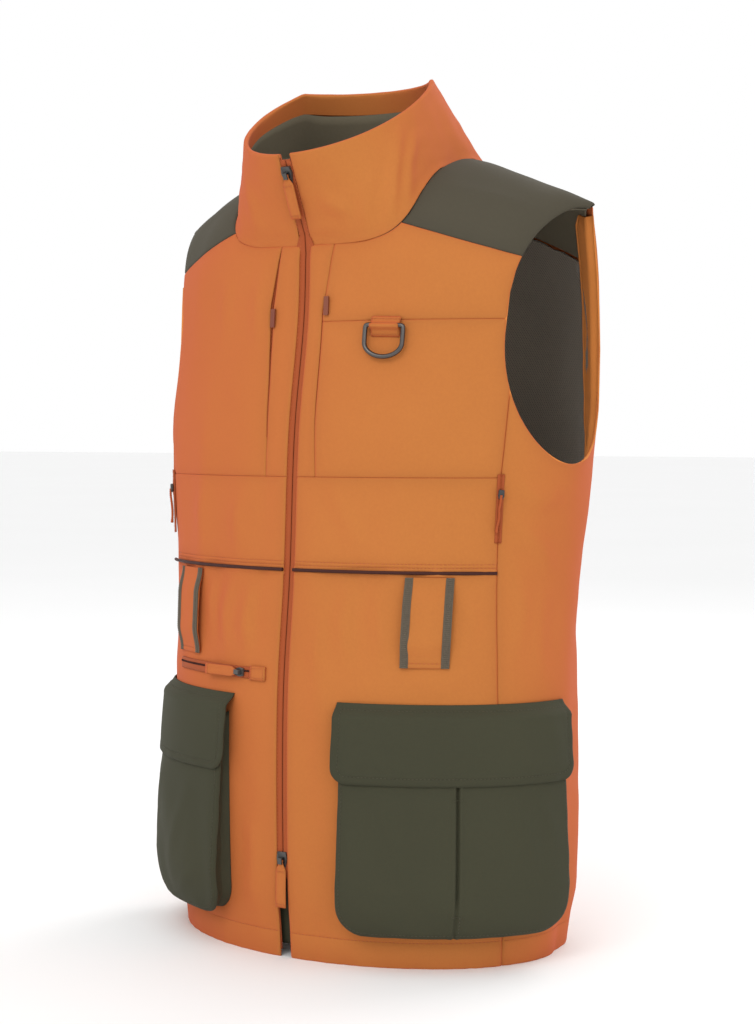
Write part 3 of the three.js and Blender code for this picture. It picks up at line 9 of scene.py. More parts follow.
import bmesh
import bpy
import numpy as np
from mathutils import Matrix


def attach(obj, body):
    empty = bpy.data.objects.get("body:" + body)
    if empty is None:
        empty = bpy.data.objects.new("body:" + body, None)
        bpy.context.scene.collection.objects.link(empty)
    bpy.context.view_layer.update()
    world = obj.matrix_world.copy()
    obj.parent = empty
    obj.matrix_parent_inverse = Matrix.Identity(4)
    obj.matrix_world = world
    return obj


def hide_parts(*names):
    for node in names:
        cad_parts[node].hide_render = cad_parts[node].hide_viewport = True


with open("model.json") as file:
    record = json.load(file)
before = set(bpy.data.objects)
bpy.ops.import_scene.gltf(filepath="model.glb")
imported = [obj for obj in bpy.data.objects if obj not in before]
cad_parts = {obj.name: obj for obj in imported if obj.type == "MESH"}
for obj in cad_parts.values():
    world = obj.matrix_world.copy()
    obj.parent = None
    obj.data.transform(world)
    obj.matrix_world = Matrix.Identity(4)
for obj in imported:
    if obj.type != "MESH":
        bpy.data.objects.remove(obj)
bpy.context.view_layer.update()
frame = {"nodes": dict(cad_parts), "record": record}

bl_info = {
    "name": "Field vest",
    "version": (1, 0, 0),
    "blender": (4, 5, 0),
    "location": "3D View > Sidebar > Vest",
    "description": "Builds a zipped field vest piece by piece round its frame",
    "category": "Object",
}

# ---- Sizes of the cut pieces, in millimetres --------------------------------------------------

WAIST_Z = 332.0
LOWER_CHEST_Z = 411.0
UPPER_CHEST_Z = 543.0
NECK_FRONT_Z = 609.0
NECK_POINT_Z = 688.0
ARMHOLE_BOTTOM_Z = 422.0
ARMHOLE_WIDEST_Z = 530.0
NECK_HALF_WIDTH = 97.0
NECK_RISE = NECK_POINT_Z - NECK_FRONT_Z
NECK_POWER = 4.6
BACK_NECK_DROP = 12.0
SHOULDER_TIP = 215.0
SHOULDER_SLOPE = 0.42
SHOULDER_HALF_WIDTH = 218.0
RIDGE_BLEND = 20.0
FRONT_ROLL = 100.0
BACK_ROLL = 180.0
ARMHOLE_MIDDLE = 84.0  # degrees round the body
ARMHOLE_HALF = 31.0
YOKE_NECK_DROP = 63.0
YOKE_FALL = 0.32
YOKE_BACK_TURN = 101.0
SIDE_SEAM_TOP = 56.0  # degrees round the body, at the armhole
SIDE_SEAM_HEM = 66.0
SIDE_SEAM_BACK = 112.0
ARC_PER_DEGREE = 3.6  # round the side of the chest
HEM_HALF_DEPTH = 131.0

# Height, half width, half depth and set back of the torso at each of its levels.
LEVELS = np.array([
    (0.0, 185.0, HEM_HALF_DEPTH, 0.0),
    (61.6, 193.06, 136.0, 0.0),
    (220.0, 198.0, 136.0, 0.0),
    (WAIST_Z, 202.0, 126.0, 0.0),
    (450.0, 214.0, 127.0, 8.0),
    (560.0, SHOULDER_HALF_WIDTH, 122.0, 18.0),
    (NECK_POINT_Z, SHOULDER_HALF_WIDTH, 122.0, 18.0),
])

CLOTH = 1.5
LINING = 1.2
LINING_OUTER = -4.5
FACING_OUTER = -9.3
FACING_THICK = 1.2
HALF_SEAM = 0.06  # half the line between two neighbouring pieces
ZIP_HALF = 5.5
TAPE_OUTER = -1.7
TAPE_THICK = 0.9

# Where the frame holds the middle of the torso, forward and back.
_HEM_MOUNT = next(m for m in frame["record"]["mounts"] if m["name"] == "hem_edge")
SHIFT_Y = _HEM_MOUNT["pos_m"][1] * 1000 - (HEM_HALF_DEPTH - CLOTH / 2)
VEST = "vest"  # the body that the cloth rides on

# ---- The torso surface ------------------------------------------------------------------------


def clamp(value, low=0.0, high=1.0):
    return np.clip(value, low, high)


def mix(a, b, share):
    return a + (b - a) * share


def smooth(value, start, end):
    """0 before start and 1 after end, with an easy turn between them."""
    s = clamp((value - start) / (end - start))
    return s * s * (3 - 2 * s)


def sin_deg(angle):
    return np.sin(np.radians(angle))


def cos_deg(angle):
    return np.cos(np.radians(angle))


def unit(v):
    return v / np.linalg.norm(v, axis=-1, keepdims=True)


def level_value(z, column):
    """A value of the torso at height z, on a smooth curve through its levels."""
    heights, values = LEVELS[:, 0], LEVELS[:, column]
    slopes = np.zeros(len(heights))
    slopes[1:-1] = (values[2:] - values[:-2]) / (heights[2:] - heights[:-2])
    z = clamp(np.asarray(z, float), heights[0], heights[-1])
    k = clamp(np.searchsorted(heights, z) - 1, 0, len(heights) - 2).astype(int)
    span = heights[k + 1] - heights[k]
    s = (z - heights[k]) / span
    return (
        values[k] * (1 + 2 * s) * (1 - s) ** 2
        + slopes[k] * span * s * (1 - s) ** 2
        + values[k + 1] * s * s * (3 - 2 * s)
        + slopes[k + 1] * span * s * s * (s - 1)
    )


def half_width(z):
    return level_value(z, 1)


def half_depth(z):
    return level_value(z, 2)


def set_back(z):
    return level_value(z, 3)


def ridge_z(x):
    """Height of the shoulder ridge at a distance x from the middle."""
    beyond = np.abs(x) - NECK_HALF_WIDTH
    return NECK_POINT_Z - SHOULDER_SLOPE * (beyond + np.hypot(beyond, RIDGE_BLEND) - RIDGE_BLEND) / 2


def wall(t, z):
    """Points at angle t round the body, 0 in front and 90 on the wearer's left, at height z."""
    t, z = np.broadcast_arrays(np.asarray(t, float), np.asarray(z, float))
    x = half_width(z) * sin_deg(t)
    c = cos_deg(t)
    roll = np.where(c > 0, FRONT_ROLL, BACK_ROLL)
    k = clamp((z - ridge_z(x)) / roll + 1)
    y = set_back(z) - half_depth(z) * c * np.sqrt(1 - k * k)
    return np.stack([x, y, z], axis=-1)


def wall_normal(t, z):
    """The torso's outward direction at angle t and height z."""
    return unit(np.cross(wall(t + 0.5, z) - wall(t, z), wall(t, z + 1.0) - wall(t, z - 1.0)))


def shoulder(t, turn):
    """Points at angle t, turned over the shoulder: 0 in front, 90 on the ridge, 180 behind."""
    t, turn = np.broadcast_arrays(np.asarray(t, float), np.asarray(turn, float))
    roll = np.where(turn < 90, FRONT_ROLL, BACK_ROLL)
    x = SHOULDER_HALF_WIDTH * sin_deg(t)
    for _ in range(4):
        z = ridge_z(x) - roll * (1 - sin_deg(turn))
        x = half_width(z) * sin_deg(t)
    y = set_back(z) - half_depth(z) * cos_deg(t) * cos_deg(turn)
    return np.stack([x, y, z], axis=-1)


def angle_of_x(x, z):
    return np.degrees(np.arcsin(clamp(x / half_width(z), -1, 1)))


def angle_of_arc(arc, z):
    """Angle of a point that far round the body from the centre front, at height z."""
    t = np.arange(0, 181.0)
    walked = np.concatenate([[0], np.cumsum(np.linalg.norm(np.diff(wall(t, z), axis=0), axis=1))])
    return np.interp(arc, walked, t)


TIP_Z = float(ridge_z(SHOULDER_TIP))
HALF_SEAM_ANGLE = math.degrees(HALF_SEAM / 130)


def armhole_angle(z, back=False):
    """The armhole's edge at height z, on the front or on the back."""
    side = 1 if back else -1
    low = clamp((ARMHOLE_WIDEST_Z - z) / (ARMHOLE_WIDEST_Z - ARMHOLE_BOTTOM_Z))
    lower = ARMHOLE_MIDDLE + side * ARMHOLE_HALF * np.sqrt(1 - low**2)
    inner = half_width(ARMHOLE_WIDEST_Z) * sin_deg(ARMHOLE_MIDDLE + side * ARMHOLE_HALF)
    high = clamp((z - ARMHOLE_WIDEST_Z) / (TIP_Z - ARMHOLE_WIDEST_Z))
    angle = angle_of_x(SHOULDER_TIP - (SHOULDER_TIP - inner) * np.sqrt(1 - high**2), z)
    return np.where(z <= ARMHOLE_WIDEST_Z, lower, 180 - angle if back else angle)


def armhole_z(t):
    k = clamp(np.abs(t - ARMHOLE_MIDDLE) / ARMHOLE_HALF)
    return ARMHOLE_WIDEST_Z - (ARMHOLE_WIDEST_Z - ARMHOLE_BOTTOM_Z) * np.sqrt(1 - k * k)


def side_seam(z):
    return mix(SIDE_SEAM_HEM, SIDE_SEAM_TOP, clamp(z / LOWER_CHEST_Z))


def front_edge(z):
    return np.where(z > armhole_z(SIDE_SEAM_TOP), armhole_angle(z), side_seam(z))


def back_edge(z):
    return np.where(z > armhole_z(SIDE_SEAM_BACK), armhole_angle(z, True), SIDE_SEAM_BACK)


def neck_drop(x, drop):
    k = clamp(np.abs(x) / NECK_HALF_WIDTH)
    return drop * (1 - k**NECK_POWER) ** (1 / NECK_POWER)


def neck_x(z):
    k = clamp((NECK_POINT_Z - z) / NECK_RISE)
    return NECK_HALF_WIDTH * (1 - k**NECK_POWER) ** (1 / NECK_POWER)


YOKE_NECK_X = float(neck_x(NECK_POINT_Z - YOKE_NECK_DROP))
YOKE_CORNER = float(angle_of_x(YOKE_NECK_X, NECK_POINT_Z - YOKE_NECK_DROP))


def yoke_seam_z(x):
    return NECK_POINT_Z - YOKE_NECK_DROP - YOKE_FALL * (np.abs(x) - YOKE_NECK_X)


def yoke_seam_turn(x):
    lift = (yoke_seam_z(x) + HALF_SEAM - ridge_z(x)) / FRONT_ROLL + 1
    return np.degrees(np.arcsin(clamp(lift)))


def front_top(t):
    """Top edge of the front panels: the neckline, then the yoke's seam."""
    z = NECK_FRONT_Z + 0 * t
    for _ in range(6):
        x = half_width(z) * sin_deg(t)
        z = np.where(x < YOKE_NECK_X, NECK_POINT_Z - neck_drop(x, NECK_RISE), yoke_seam_z(x))
    return z - HALF_SEAM


# ---- Sheets of cloth --------------------------------------------------------------------------


def value_at(f, x):
    return f(x) if callable(f) else f + 0 * x


def shares(length, step, start=(), end=()):
    """Shares from 0 to 1 along a side: at the given distances from either end, and a step apart between."""
    near = sorted({0.0, *[d / length for d in start]})
    far = sorted({1.0, *[1 - d / length for d in end]})
    gap = far[0] - near[-1]
    count = max(1, round(gap * length / step))
    middle = [near[-1] + gap * k / count for k in range(1, count)]
    return np.array(near + middle + far)


EDGE = (0.6, 1.5, 3.0)  # distances from an edge where its rounding needs points


def grooved(*lines):
    """Distances from an edge that show its rounding and a sewn line at each distance given."""
    around = [g + d for g in lines for d in (-1.3, -0.5, 0, 0.5, 1.3)]
    return sorted({*EDGE[: 2 if lines else 3], *around})


class Sheet:
    """A grid of points on the vest, with its normals and its distances to all four edges."""

    def __init__(self, points, uv_start=(0.0, 0.0)):
        self.p = points
        along = np.linalg.norm(np.diff(points, axis=1), axis=2)
        up = np.linalg.norm(np.diff(points, axis=0), axis=2)
        zero_column = np.zeros((points.shape[0], 1))
        zero_row = np.zeros((1, points.shape[1]))
        self.left = np.concatenate([zero_column, np.cumsum(along, axis=1)], axis=1)
        self.right = self.left[:, -1:] - self.left
        self.low = np.concatenate([zero_row, np.cumsum(up, axis=0)], axis=0)
        self.high = self.low[-1:, :] - self.low
        du = np.gradient(points, axis=1)
        dv = np.gradient(points, axis=0)
        n = np.cross(du, dv)
        self.n = n / (np.linalg.norm(n, axis=2, keepdims=True) + 1e-12)
        self.uv = np.stack([self.left + uv_start[0], self.low + uv_start[1]], axis=-1) / 1000

    def at(self, offset):
        """The sheet's points, moved outwards by an offset."""
        return self.p + self.n * np.broadcast_to(offset, self.p.shape[:2])[..., None]

    def sides(self):
        """Distance from the nearer side edge."""
        return np.minimum(self.left, self.right)

    def rim(self):
        """Distance from the nearest of the four edges."""
        return np.minimum(self.sides(), np.minimum(self.low, self.high))

    def declare(self, piece, held, rests_on=()):
        """Takes a piece, how it is held and what it rests on, and does nothing with them."""


def wall_grid(lower, upper, start, end, us, vs, via=None, via_share=None):
    """Angles and heights of a grid between two side edges and a lower and an upper edge."""
    u, v = np.meshgrid(us, vs)
    z = mix(value_at(lower, 0 * u + 45.0), value_at(upper, 0 * u + 45.0), v)
    t = 0 * u
    for _ in range(14):
        t0, t1 = value_at(start, z), value_at(end, z)
        if via is None:
            t = mix(t0, t1, u)
        else:
            t = np.where(
                u < via_share, mix(t0, via, u / via_share), mix(via, t1, (u - via_share) / (1 - via_share))
            )
        z = mix(value_at(lower, t), value_at(upper, t), v)
    return t, z


def swell(p, seed, size, stretch=(1, 1, 1), waves=6):
    """Uneven soft swelling between about -1 and 1, the same on each run."""
    rng = np.random.RandomState(seed)
    stretch = np.array(stretch, float)
    total = np.zeros(p.shape[:-1])
    for _ in range(waves):
        a, b = rng.normal(size=(2, 3))
        a = a / np.linalg.norm(a) * stretch
        b = b / np.linalg.norm(b) * stretch
        k = 2 * math.pi / (size * rng.uniform(0.7, 1.6))
        bend = 0.8 * np.sin(p @ b * k * 0.6 + rng.uniform(0, 6.3))
        total += np.sin(p @ a * k + rng.uniform(0, 6.3) + bend)
    return total / math.sqrt(waves) / 1.2


def edge_relief(distance, lines=(), roll=0.8, lip=0.3):
    """A turned edge: rounded at the rim, a little thicker over its allowance, dented at each sewn line."""
    relief = -roll * np.exp(-((distance / 0.8) ** 2))
    if lines:
        relief += lip * (1 - smooth(distance, lines[-1] + 0.6, lines[-1] + 3))
    for line in lines:
        relief -= 0.4 * np.exp(-(((distance - line) / 0.75) ** 2))
    return relief


def pucker(p, distance, seed, depth=0.25, reach=9.0):
    return depth * swell(p, seed, 9.0) * np.exp(-((distance / reach) ** 2))


def ridge(p, points, width, height):
    """A soft fold along a line through points, highest in its middle."""
    points = np.array(points, float)
    best = np.full(p.shape[:-1], 1e9)
    share = np.zeros(p.shape[:-1])
    for k, (a, b) in enumerate(zip(points[:-1], points[1:])):
        line = b - a
        s = clamp(((p - a) @ line) / (line @ line))
        d = np.linalg.norm(p - (a + s[..., None] * line), axis=-1)
        share = np.where(d < best, (k + s) / (len(points) - 1), share)
        best = np.minimum(best, d)
    return height * np.exp(-((best / width) ** 2)) * np.sin(math.pi * clamp(share, 0.02, 0.98)) ** 0.7


def shell_faces(rows, columns):
    """Quads of a closed shell whose outer grid's points come first and its inner grid's after."""
    index = np.arange(rows * columns).reshape(rows, columns)
    inner = rows * columns
    a, b = index[:-1, :-1].ravel(), index[:-1, 1:].ravel()
    c, d = index[1:, 1:].ravel(), index[1:, :-1].ravel()
    outer_quads = np.stack([a, b, c, d], axis=1)
    inner_quads = np.stack([d, c, b, a], axis=1) + inner
    rim = np.concatenate([index[0, :-1], index[:-1, -1], index[-1, :0:-1], index[:0:-1, 0]])
    after = np.roll(rim, -1)
    sides = np.stack([after, rim, rim + inner, after + inner], axis=1)
    return np.concatenate([outer_quads, inner_quads, sides])


def make_mesh(name, points, faces, uv, material, side=1, attributes=None):
    """A piece in the frame, from points in torso millimetres. side -1 mirrors it to the wearer's right."""
    points = np.asarray(points, float).reshape(-1, 3).copy()
    if side < 0:
        points[:, 0] *= -1
    points[:, 1] += SHIFT_Y
    mesh = bpy.data.meshes.new(name)
    faces = [list(map(int, f)) for f in faces]
    if side < 0:
        faces = [f[::-1] for f in faces]
    mesh.from_pydata((points / 1000).tolist(), [], faces)
    if uv is not None:
        layer = mesh.uv_layers.new(name="cloth")
        corners = np.empty(len(mesh.loops), dtype=np.int64)
        mesh.loops.foreach_get("vertex_index", corners)
        layer.data.foreach_set("uv", np.asarray(uv, float).reshape(-1, 2)[corners].astype(np.float32).ravel())
    for key, values in (attributes or {}).items():
        stored = mesh.attributes.new(key, "FLOAT", "POINT")
        stored.data.foreach_set("value", np.asarray(values, np.float32).ravel())
    mesh.materials.append(material)
    mesh.shade_smooth()
    mesh.validate()
    piece = bpy.data.objects.new(name, mesh)
    bpy.context.scene.collection.objects.link(piece)
    return piece


def cloth_piece(
    name, sheet, relief, material, thickness=CLOTH, side=1, seam=None, seam_reach=6.0,
    held="stretched", rests_on=(), stands_for=None, body=VEST,
):
    """A closed cloth shell over a sheet, which stands for the CAD node of its own name or the one given.

    Narrow tapes, tabs and pulls are held None: they are webbing, and aren't declared as sheets.
    """
    relief = np.broadcast_to(relief, sheet.p.shape[:2])
    outer = sheet.at(relief)
    inner = sheet.at(np.minimum(relief, 0) * 0.6 - thickness)
    points = np.concatenate([outer.reshape(-1, 3), inner.reshape(-1, 3)])
    uv = np.concatenate([sheet.uv.reshape(-1, 2)] * 2)
    # The seam attribute: 1 at the piece's edges and fading over seam_reach; the cloth materials paint shade
    # along the seams with it.
    seam = sheet.rim() if seam is None else seam
    seam = np.concatenate([np.exp(-np.asarray(seam).ravel() / seam_reach)] * 2)
    piece = make_mesh(name, points, shell_faces(*sheet.p.shape[:2]), uv, material, side, {"seam": seam})
    outward_faces(piece)
    finish_piece(piece, stands_for or name, body)
    if held:
        sheet.declare(piece, held, rests_on)
    return piece


def outward_faces(piece):
    """Turns a closed piece's faces outwards."""
    work = bmesh.new()
    work.from_mesh(piece.data)
    bmesh.ops.recalc_face_normals(work, faces=work.faces)
    work.to_mesh(piece.data)
    work.free()
    piece.data.shade_smooth()


def finish_piece(piece, stands_for=None, body=VEST):
    """Says which body a piece rides on and which CAD node it stands for."""
    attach(piece, body)
    if stands_for:
        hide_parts(stands_for)


SIDES = {"left": 1, "right": -1}

# ---- Materials --------------------------------------------------------------------------------


def node(tree, kind, inputs=None, **settings):
    made = tree.nodes.new(kind)
    for key, value in settings.items():
        setattr(made, key, value)
    for key, value in (inputs or {}).items():
        if isinstance(value, bpy.types.NodeSocket):
            tree.links.new(value, made.inputs[key])
        else:
            made.inputs[key].default_value = value
    return made


def shader_group(name, inputs, outputs, build):
    """A shader node group with named sockets, built once and shared."""
    tree = bpy.data.node_groups.get(name)
    if tree:
        return tree
    tree = bpy.data.node_groups.new(name, "ShaderNodeTree")
    for label, (kind, default) in inputs.items():
        socket = tree.interface.new_socket(label, in_out="INPUT", socket_type=kind)
        if default is not None:
            socket.default_value = default
    for label in outputs:
        tree.interface.new_socket(label, in_out="OUTPUT", socket_type="NodeSocketFloat")
    ins = tree.nodes.new("NodeGroupInput")
    outs = tree.nodes.new("NodeGroupOutput")
    for label, socket in build(tree, ins.outputs).items():
        tree.links.new(socket, outs.inputs[label])
    return tree


def maths(tree, operation, a, b=0.0, c=0.0):
    return node(tree, "ShaderNodeMath", {0: a, 1: b, 2: c}, operation=operation).outputs[0]


def weave_nodes(tree, ins):
    """Crossing threads: height 1 on a thread's crown and 0 between threads."""
    parts = node(tree, "ShaderNodeSeparateXYZ", {0: ins["Vector"]}).outputs
    turn = maths(tree, "MULTIPLY", ins["Threads"], 2 * math.pi)
    a = maths(tree, "MULTIPLY", parts["X"], turn)
    b = maths(tree, "MULTIPLY", parts["Y"], turn)
    plain = maths(tree, "MULTIPLY", maths(tree, "SINE", a), maths(tree, "SINE", b))
    slant = maths(tree, "SINE", maths(tree, "ADD", a, b))
    mixed = node(tree, "ShaderNodeMix", {0: ins["Twill"], 2: plain, 3: slant}).outputs[0]
    height = maths(tree, "MULTIPLY_ADD", mixed, 0.5, 0.5)
    return {"Height": height}


def wear_nodes(tree, ins):
    """Uneven dye in broad soft patches, with a finer fuzz."""
    broad = node(
        tree, "ShaderNodeTexNoise", {"Vector": ins["Vector"], "Scale": 9.0, "Detail": 3.0}
    ).outputs[0]
    fuzz = node(
        tree, "ShaderNodeTexNoise", {"Vector": ins["Vector"], "Scale": 420.0, "Detail": 2.0}
    ).outputs[0]
    patchy = maths(tree, "MULTIPLY", maths(tree, "SUBTRACT", broad, 0.5), ins["Patches"])
    fine = maths(tree, "MULTIPLY", maths(tree, "SUBTRACT", fuzz, 0.5), ins["Fuzz"])
    shade = maths(tree, "ADD", maths(tree, "ADD", patchy, fine), 0.5)
    return {"Shade": shade, "Fuzz": fuzz}


def weave_group():
    inputs = {
        "Vector": ("NodeSocketVector", None),
        "Threads": ("NodeSocketFloat", 1500.0),
        "Twill": ("NodeSocketFloat", 0.0),
    }
    return shader_group("Crossing threads", inputs, ["Height"], weave_nodes)


def wear_group():
    inputs = {
        "Vector": ("NodeSocketVector", None),
        "Patches": ("NodeSocketFloat", 0.5),
        "Fuzz": ("NodeSocketFloat", 0.3),
    }
    return shader_group("Uneven dye", inputs, ["Shade", "Fuzz"], wear_nodes)


def rgb(colour):
    return (*colour[:3], 1.0)


def new_material(name):
    material = bpy.data.materials.new(name)
    material.use_nodes = True
    tree = material.node_tree
    return material, tree, tree.nodes["Principled BSDF"]


def cloth_material(
    name, light, dark, threads=1300.0, twill=0.0, depth=0.00008, strength=0.35, rough=0.85,
    sheen=0.25, patches=0.6, fuzz=0.5, seam_dark=0.25, turned=None,
):
    """Cloth that mixes two dyes in soft patches, with threads that follow its own UV map, painted shade along
    its seams, and, where a turned colour is given, painted shade in a darker red where it turns from the
    camera.
    """
    made = bpy.data.materials.get(name)
    if made:
        return made
    material, tree, shader = new_material(name)
    where = node(tree, "ShaderNodeTexCoord").outputs["Object"]
    along = node(tree, "ShaderNodeUVMap", uv_map="cloth").outputs[0]
    threading = {"Vector": along, "Threads": threads, "Twill": twill}
    weave = node(tree, "ShaderNodeGroup", threading, node_tree=weave_group())
    wear = node(
        tree, "ShaderNodeGroup", {"Vector": where, "Patches": patches, "Fuzz": fuzz}, node_tree=wear_group()
    )
    seam = node(tree, "ShaderNodeAttribute", attribute_name="seam").outputs["Fac"]
    body = node(
        tree, "ShaderNodeMix", {0: wear.outputs["Shade"], 6: rgb(dark), 7: rgb(light)}, data_type="RGBA"
    )
    # Painted shade: the colour darkens towards each piece's edges and seams, by its seam attribute.
    wear_and_seam_shade = maths(tree, "MULTIPLY", seam, seam_dark)
    deep = tuple(0.6 * c for c in dark[:3])
    coloured = node(tree, "ShaderNodeMix", {0: wear_and_seam_shade, 6: body.outputs[2], 7: rgb(deep)}, data_type="RGBA")
    # Painted shade: towards the silhouette, where the surface turns from the camera, the colour turns to a
    # darker red.
    if turned is not None:
        facing = node(tree, "ShaderNodeLayerWeight", {"Blend": 0.5}).outputs["Facing"]
        coloured = node(
            tree, "ShaderNodeMix", {0: facing, 6: coloured.outputs[2], 7: rgb(turned)}, data_type="RGBA"
        )
    tree.links.new(coloured.outputs[2], shader.inputs["Base Color"])
    roughness = maths(tree, "MULTIPLY_ADD", wear.outputs["Fuzz"], 0.12, rough - 0.06)
    tree.links.new(roughness, shader.inputs["Roughness"])
    relief = maths(tree, "MULTIPLY_ADD", wear.outputs["Fuzz"], 0.5, weave.outputs["Height"])
    bump = node(tree, "ShaderNodeBump", {"Strength": strength, "Distance": depth, "Height": relief})
    tree.links.new(bump.outputs[0], shader.inputs["Normal"])
    shader.inputs["Sheen Weight"].default_value = sheen
    shader.inputs["Sheen Roughness"].default_value = 0.45
    shader.inputs["Sheen Tint"].default_value = rgb(tuple(mix(c, 1.0, 0.1) for c in light[:3]))
    shader.inputs["Specular IOR Level"].default_value = 0.25
    return material


def mesh_cloth_nodes(tree, ins):
    """Open knit: 1 on the yarn and 0 in its staggered holes."""
    parts = node(tree, "ShaderNodeSeparateXYZ", {0: ins["Vector"]}).outputs
    turn = maths(tree, "MULTIPLY", ins["Holes"], 2 * math.pi)
    a = maths(tree, "MULTIPLY", parts["X"], turn)
    b = maths(tree, "MULTIPLY", parts["Y"], turn)
    waves = maths(tree, "MULTIPLY", maths(tree, "COSINE", a), maths(tree, "COSINE", b))
    yarn = node(tree, "ShaderNodeMapRange", {"Value": waves, 1: 0.75, 2: 0.35, 3: 0.0, 4: 1.0}).outputs[0]
    return {"Yarn": yarn}


def mesh_material(name, yarn_colour, hole_shade, holes):
    made = bpy.data.materials.get(name)
    if made:
        return made
    material, tree, shader = new_material(name)
    along = node(tree, "ShaderNodeUVMap", uv_map="cloth").outputs[0]
    inputs = {"Vector": ("NodeSocketVector", None), "Holes": ("NodeSocketFloat", 250.0)}
    knitted = shader_group("Open knit", inputs, ["Yarn"], mesh_cloth_nodes)
    knit = node(tree, "ShaderNodeGroup", {"Vector": along, "Holes": holes}, node_tree=knitted)
    where = node(tree, "ShaderNodeTexCoord").outputs["Object"]
    wear = node(tree, "ShaderNodeGroup", {"Vector": where}, node_tree=wear_group())
    # Painted shade: the knit's holes aren't cut but take a dark colour, for the shade behind the lining.
    share = maths(tree, "MULTIPLY", knit.outputs["Yarn"], maths(tree, "ADD", wear.outputs["Shade"], 0.4))
    body = node(tree, "ShaderNodeMix", {0: share, 6: rgb(hole_shade), 7: rgb(yarn_colour)}, data_type="RGBA")
    tree.links.new(body.outputs[2], shader.inputs["Base Color"])
    bump = node(tree, "ShaderNodeBump", {"Strength": 0.5, "Distance": 0.0003, "Height": knit.outputs["Yarn"]})
    tree.links.new(bump.outputs[0], shader.inputs["Normal"])
    shader.inputs["Roughness"].default_value = 0.8
    shader.inputs["Sheen Weight"].default_value = 0.2
    return material


def metal_material(name, colour, wear_and_seam_shade, rough, metallic, coat=0.0):
    """Plated or enamelled metal, paler and smoother where it is handled."""
    made = bpy.data.materials.get(name)
    if made:
        return made
    material, tree, shader = new_material(name)
    where = node(tree, "ShaderNodeTexCoord").outputs["Object"]
    wear = node(tree, "ShaderNodeGroup", {"Vector": where, "Patches": 1.6}, node_tree=wear_group())
    edges = node(tree, "ShaderNodeNewGeometry").outputs["Pointiness"]
    proud = node(tree, "ShaderNodeMapRange", {"Value": edges, 1: 0.52, 2: 0.6, 3: 0.0, 4: 1.0}).outputs[0]
    share = maths(tree, "MULTIPLY", proud, wear.outputs["Shade"])
    body = node(tree, "ShaderNodeMix", {0: share, 6: rgb(colour), 7: rgb(wear_and_seam_shade)}, data_type="RGBA")
    tree.links.new(body.outputs[2], shader.inputs["Base Color"])
    roughness = maths(tree, "MULTIPLY_ADD", wear.outputs["Fuzz"], 0.2, rough - 0.1)
    tree.links.new(roughness, shader.inputs["Roughness"])
    bump = node(
        tree, "ShaderNodeBump", {"Strength": 0.15, "Distance": 0.00005, "Height": wear.outputs["Fuzz"]}
    )
    tree.links.new(bump.outputs[0], shader.inputs["Normal"])
    shader.inputs["Metallic"].default_value = metallic
    if coat:
        shader.inputs["Coat Weight"].default_value = coat
        shader.inputs["Coat Roughness"].default_value = 0.2
    return material


# The colours, set from the add-on's own properties when the pieces are made.
def colours():
    return bpy.context.scene.vest_cloth


def orange():
    c = colours()
    return cloth_material(
        "Orange brushed cloth", c.orange, c.orange_dark, threads=1150, strength=0.3, sheen=0.15,
        turned=c.orange_turned_shade
    )


def olive():
    c = colours()
    return cloth_material(
        "Olive ripstop", c.olive, c.olive_dark, threads=1250, strength=0.4, rough=0.85, sheen=0.1,
        seam_dark=0.2
    )


# The yoke's own browner green, partly painted light: set lighter than the olive for the light that the
# shoulders catch.
def olive_yoke_with_painted_light():
    c = colours()
    return cloth_material(
        "Olive yoke cloth", c.yoke, tuple(0.7 * v for v in c.yoke), threads=1250, strength=0.4, rough=0.85,
        sheen=0.1,
        seam_dark=0.2,
    )


# Painted light: the yoke colour made 2.2 times brighter for the collar and yoke linings, which sit in shade
# inside the collar.
def olive_lining_with_painted_light():
    c = colours()
    return cloth_material(
        "Olive lining cloth", tuple(2.2 * v for v in c.yoke), tuple(1.5 * v for v in c.yoke), threads=900,
        strength=0.3, sheen=0.1, seam_dark=0.2,
    )


# Painted light: the shell orange and its shade made 1.5 times brighter for the armhole facing, which sits in
# shade inside the vest.
def orange_with_painted_light():
    c = colours()
    return cloth_material(
        "Orange facing cloth", tuple(min(1.0, 1.5 * v) for v in c.orange),
        tuple(1.5 * v for v in c.orange_dark),
        threads=1150, strength=0.3, sheen=0.1,
    )


def lining_mesh():
    c = colours()
    return mesh_material("Mesh lining", c.lining, c.lining_dark, holes=330.0)


def zip_cloth():
    c = colours()
    return cloth_material(
        "Zip tape", c.zip, tuple(
            0.75 * v for v in c.zip
        ), threads=900, twill=0.6, strength=0.6, rough=0.7, sheen=0.1
    )


def piping_cloth():
    c = colours()
    return cloth_material(
        "Piping cord", c.piping, tuple(0.6 * v for v in c.piping), threads=1400, twill=1.0, strength=0.8,
        rough=0.6, sheen=0.1,
    )


def ribbed_cloth():
    c = colours()
    return cloth_material(
        "Ribbed tape", c.ribbed, tuple(
            0.55 * v for v in c.ribbed
        ), threads=800, strength=0.7, rough=0.75, patches=0.4
    )


def thread(name, colour):
    return cloth_material(
        name, colour, tuple(0.7 * v for v in colour[:3]), threads=2200, twill=1.0, strength=0.5, rough=0.6,
        sheen=0.1, fuzz=1.0, seam_dark=0.0,
    )


def orange_thread():
    return thread("Orange thread", colours().thread)


def olive_thread():
    return thread("Olive thread", colours().olive_thread)


def black_enamel():
    return metal_material("Black enamel", (0.012, 0.012, 0.013), (0.09, 0.085, 0.08), 0.38, 0.35, coat=0.3)


def gunmetal():
    return metal_material("Gunmetal plate", (0.085, 0.078, 0.075), (0.4, 0.38, 0.36), 0.33, 1.0)


# ---- Rows that repeat along a line, grown by Geometry Nodes ------------------------------------


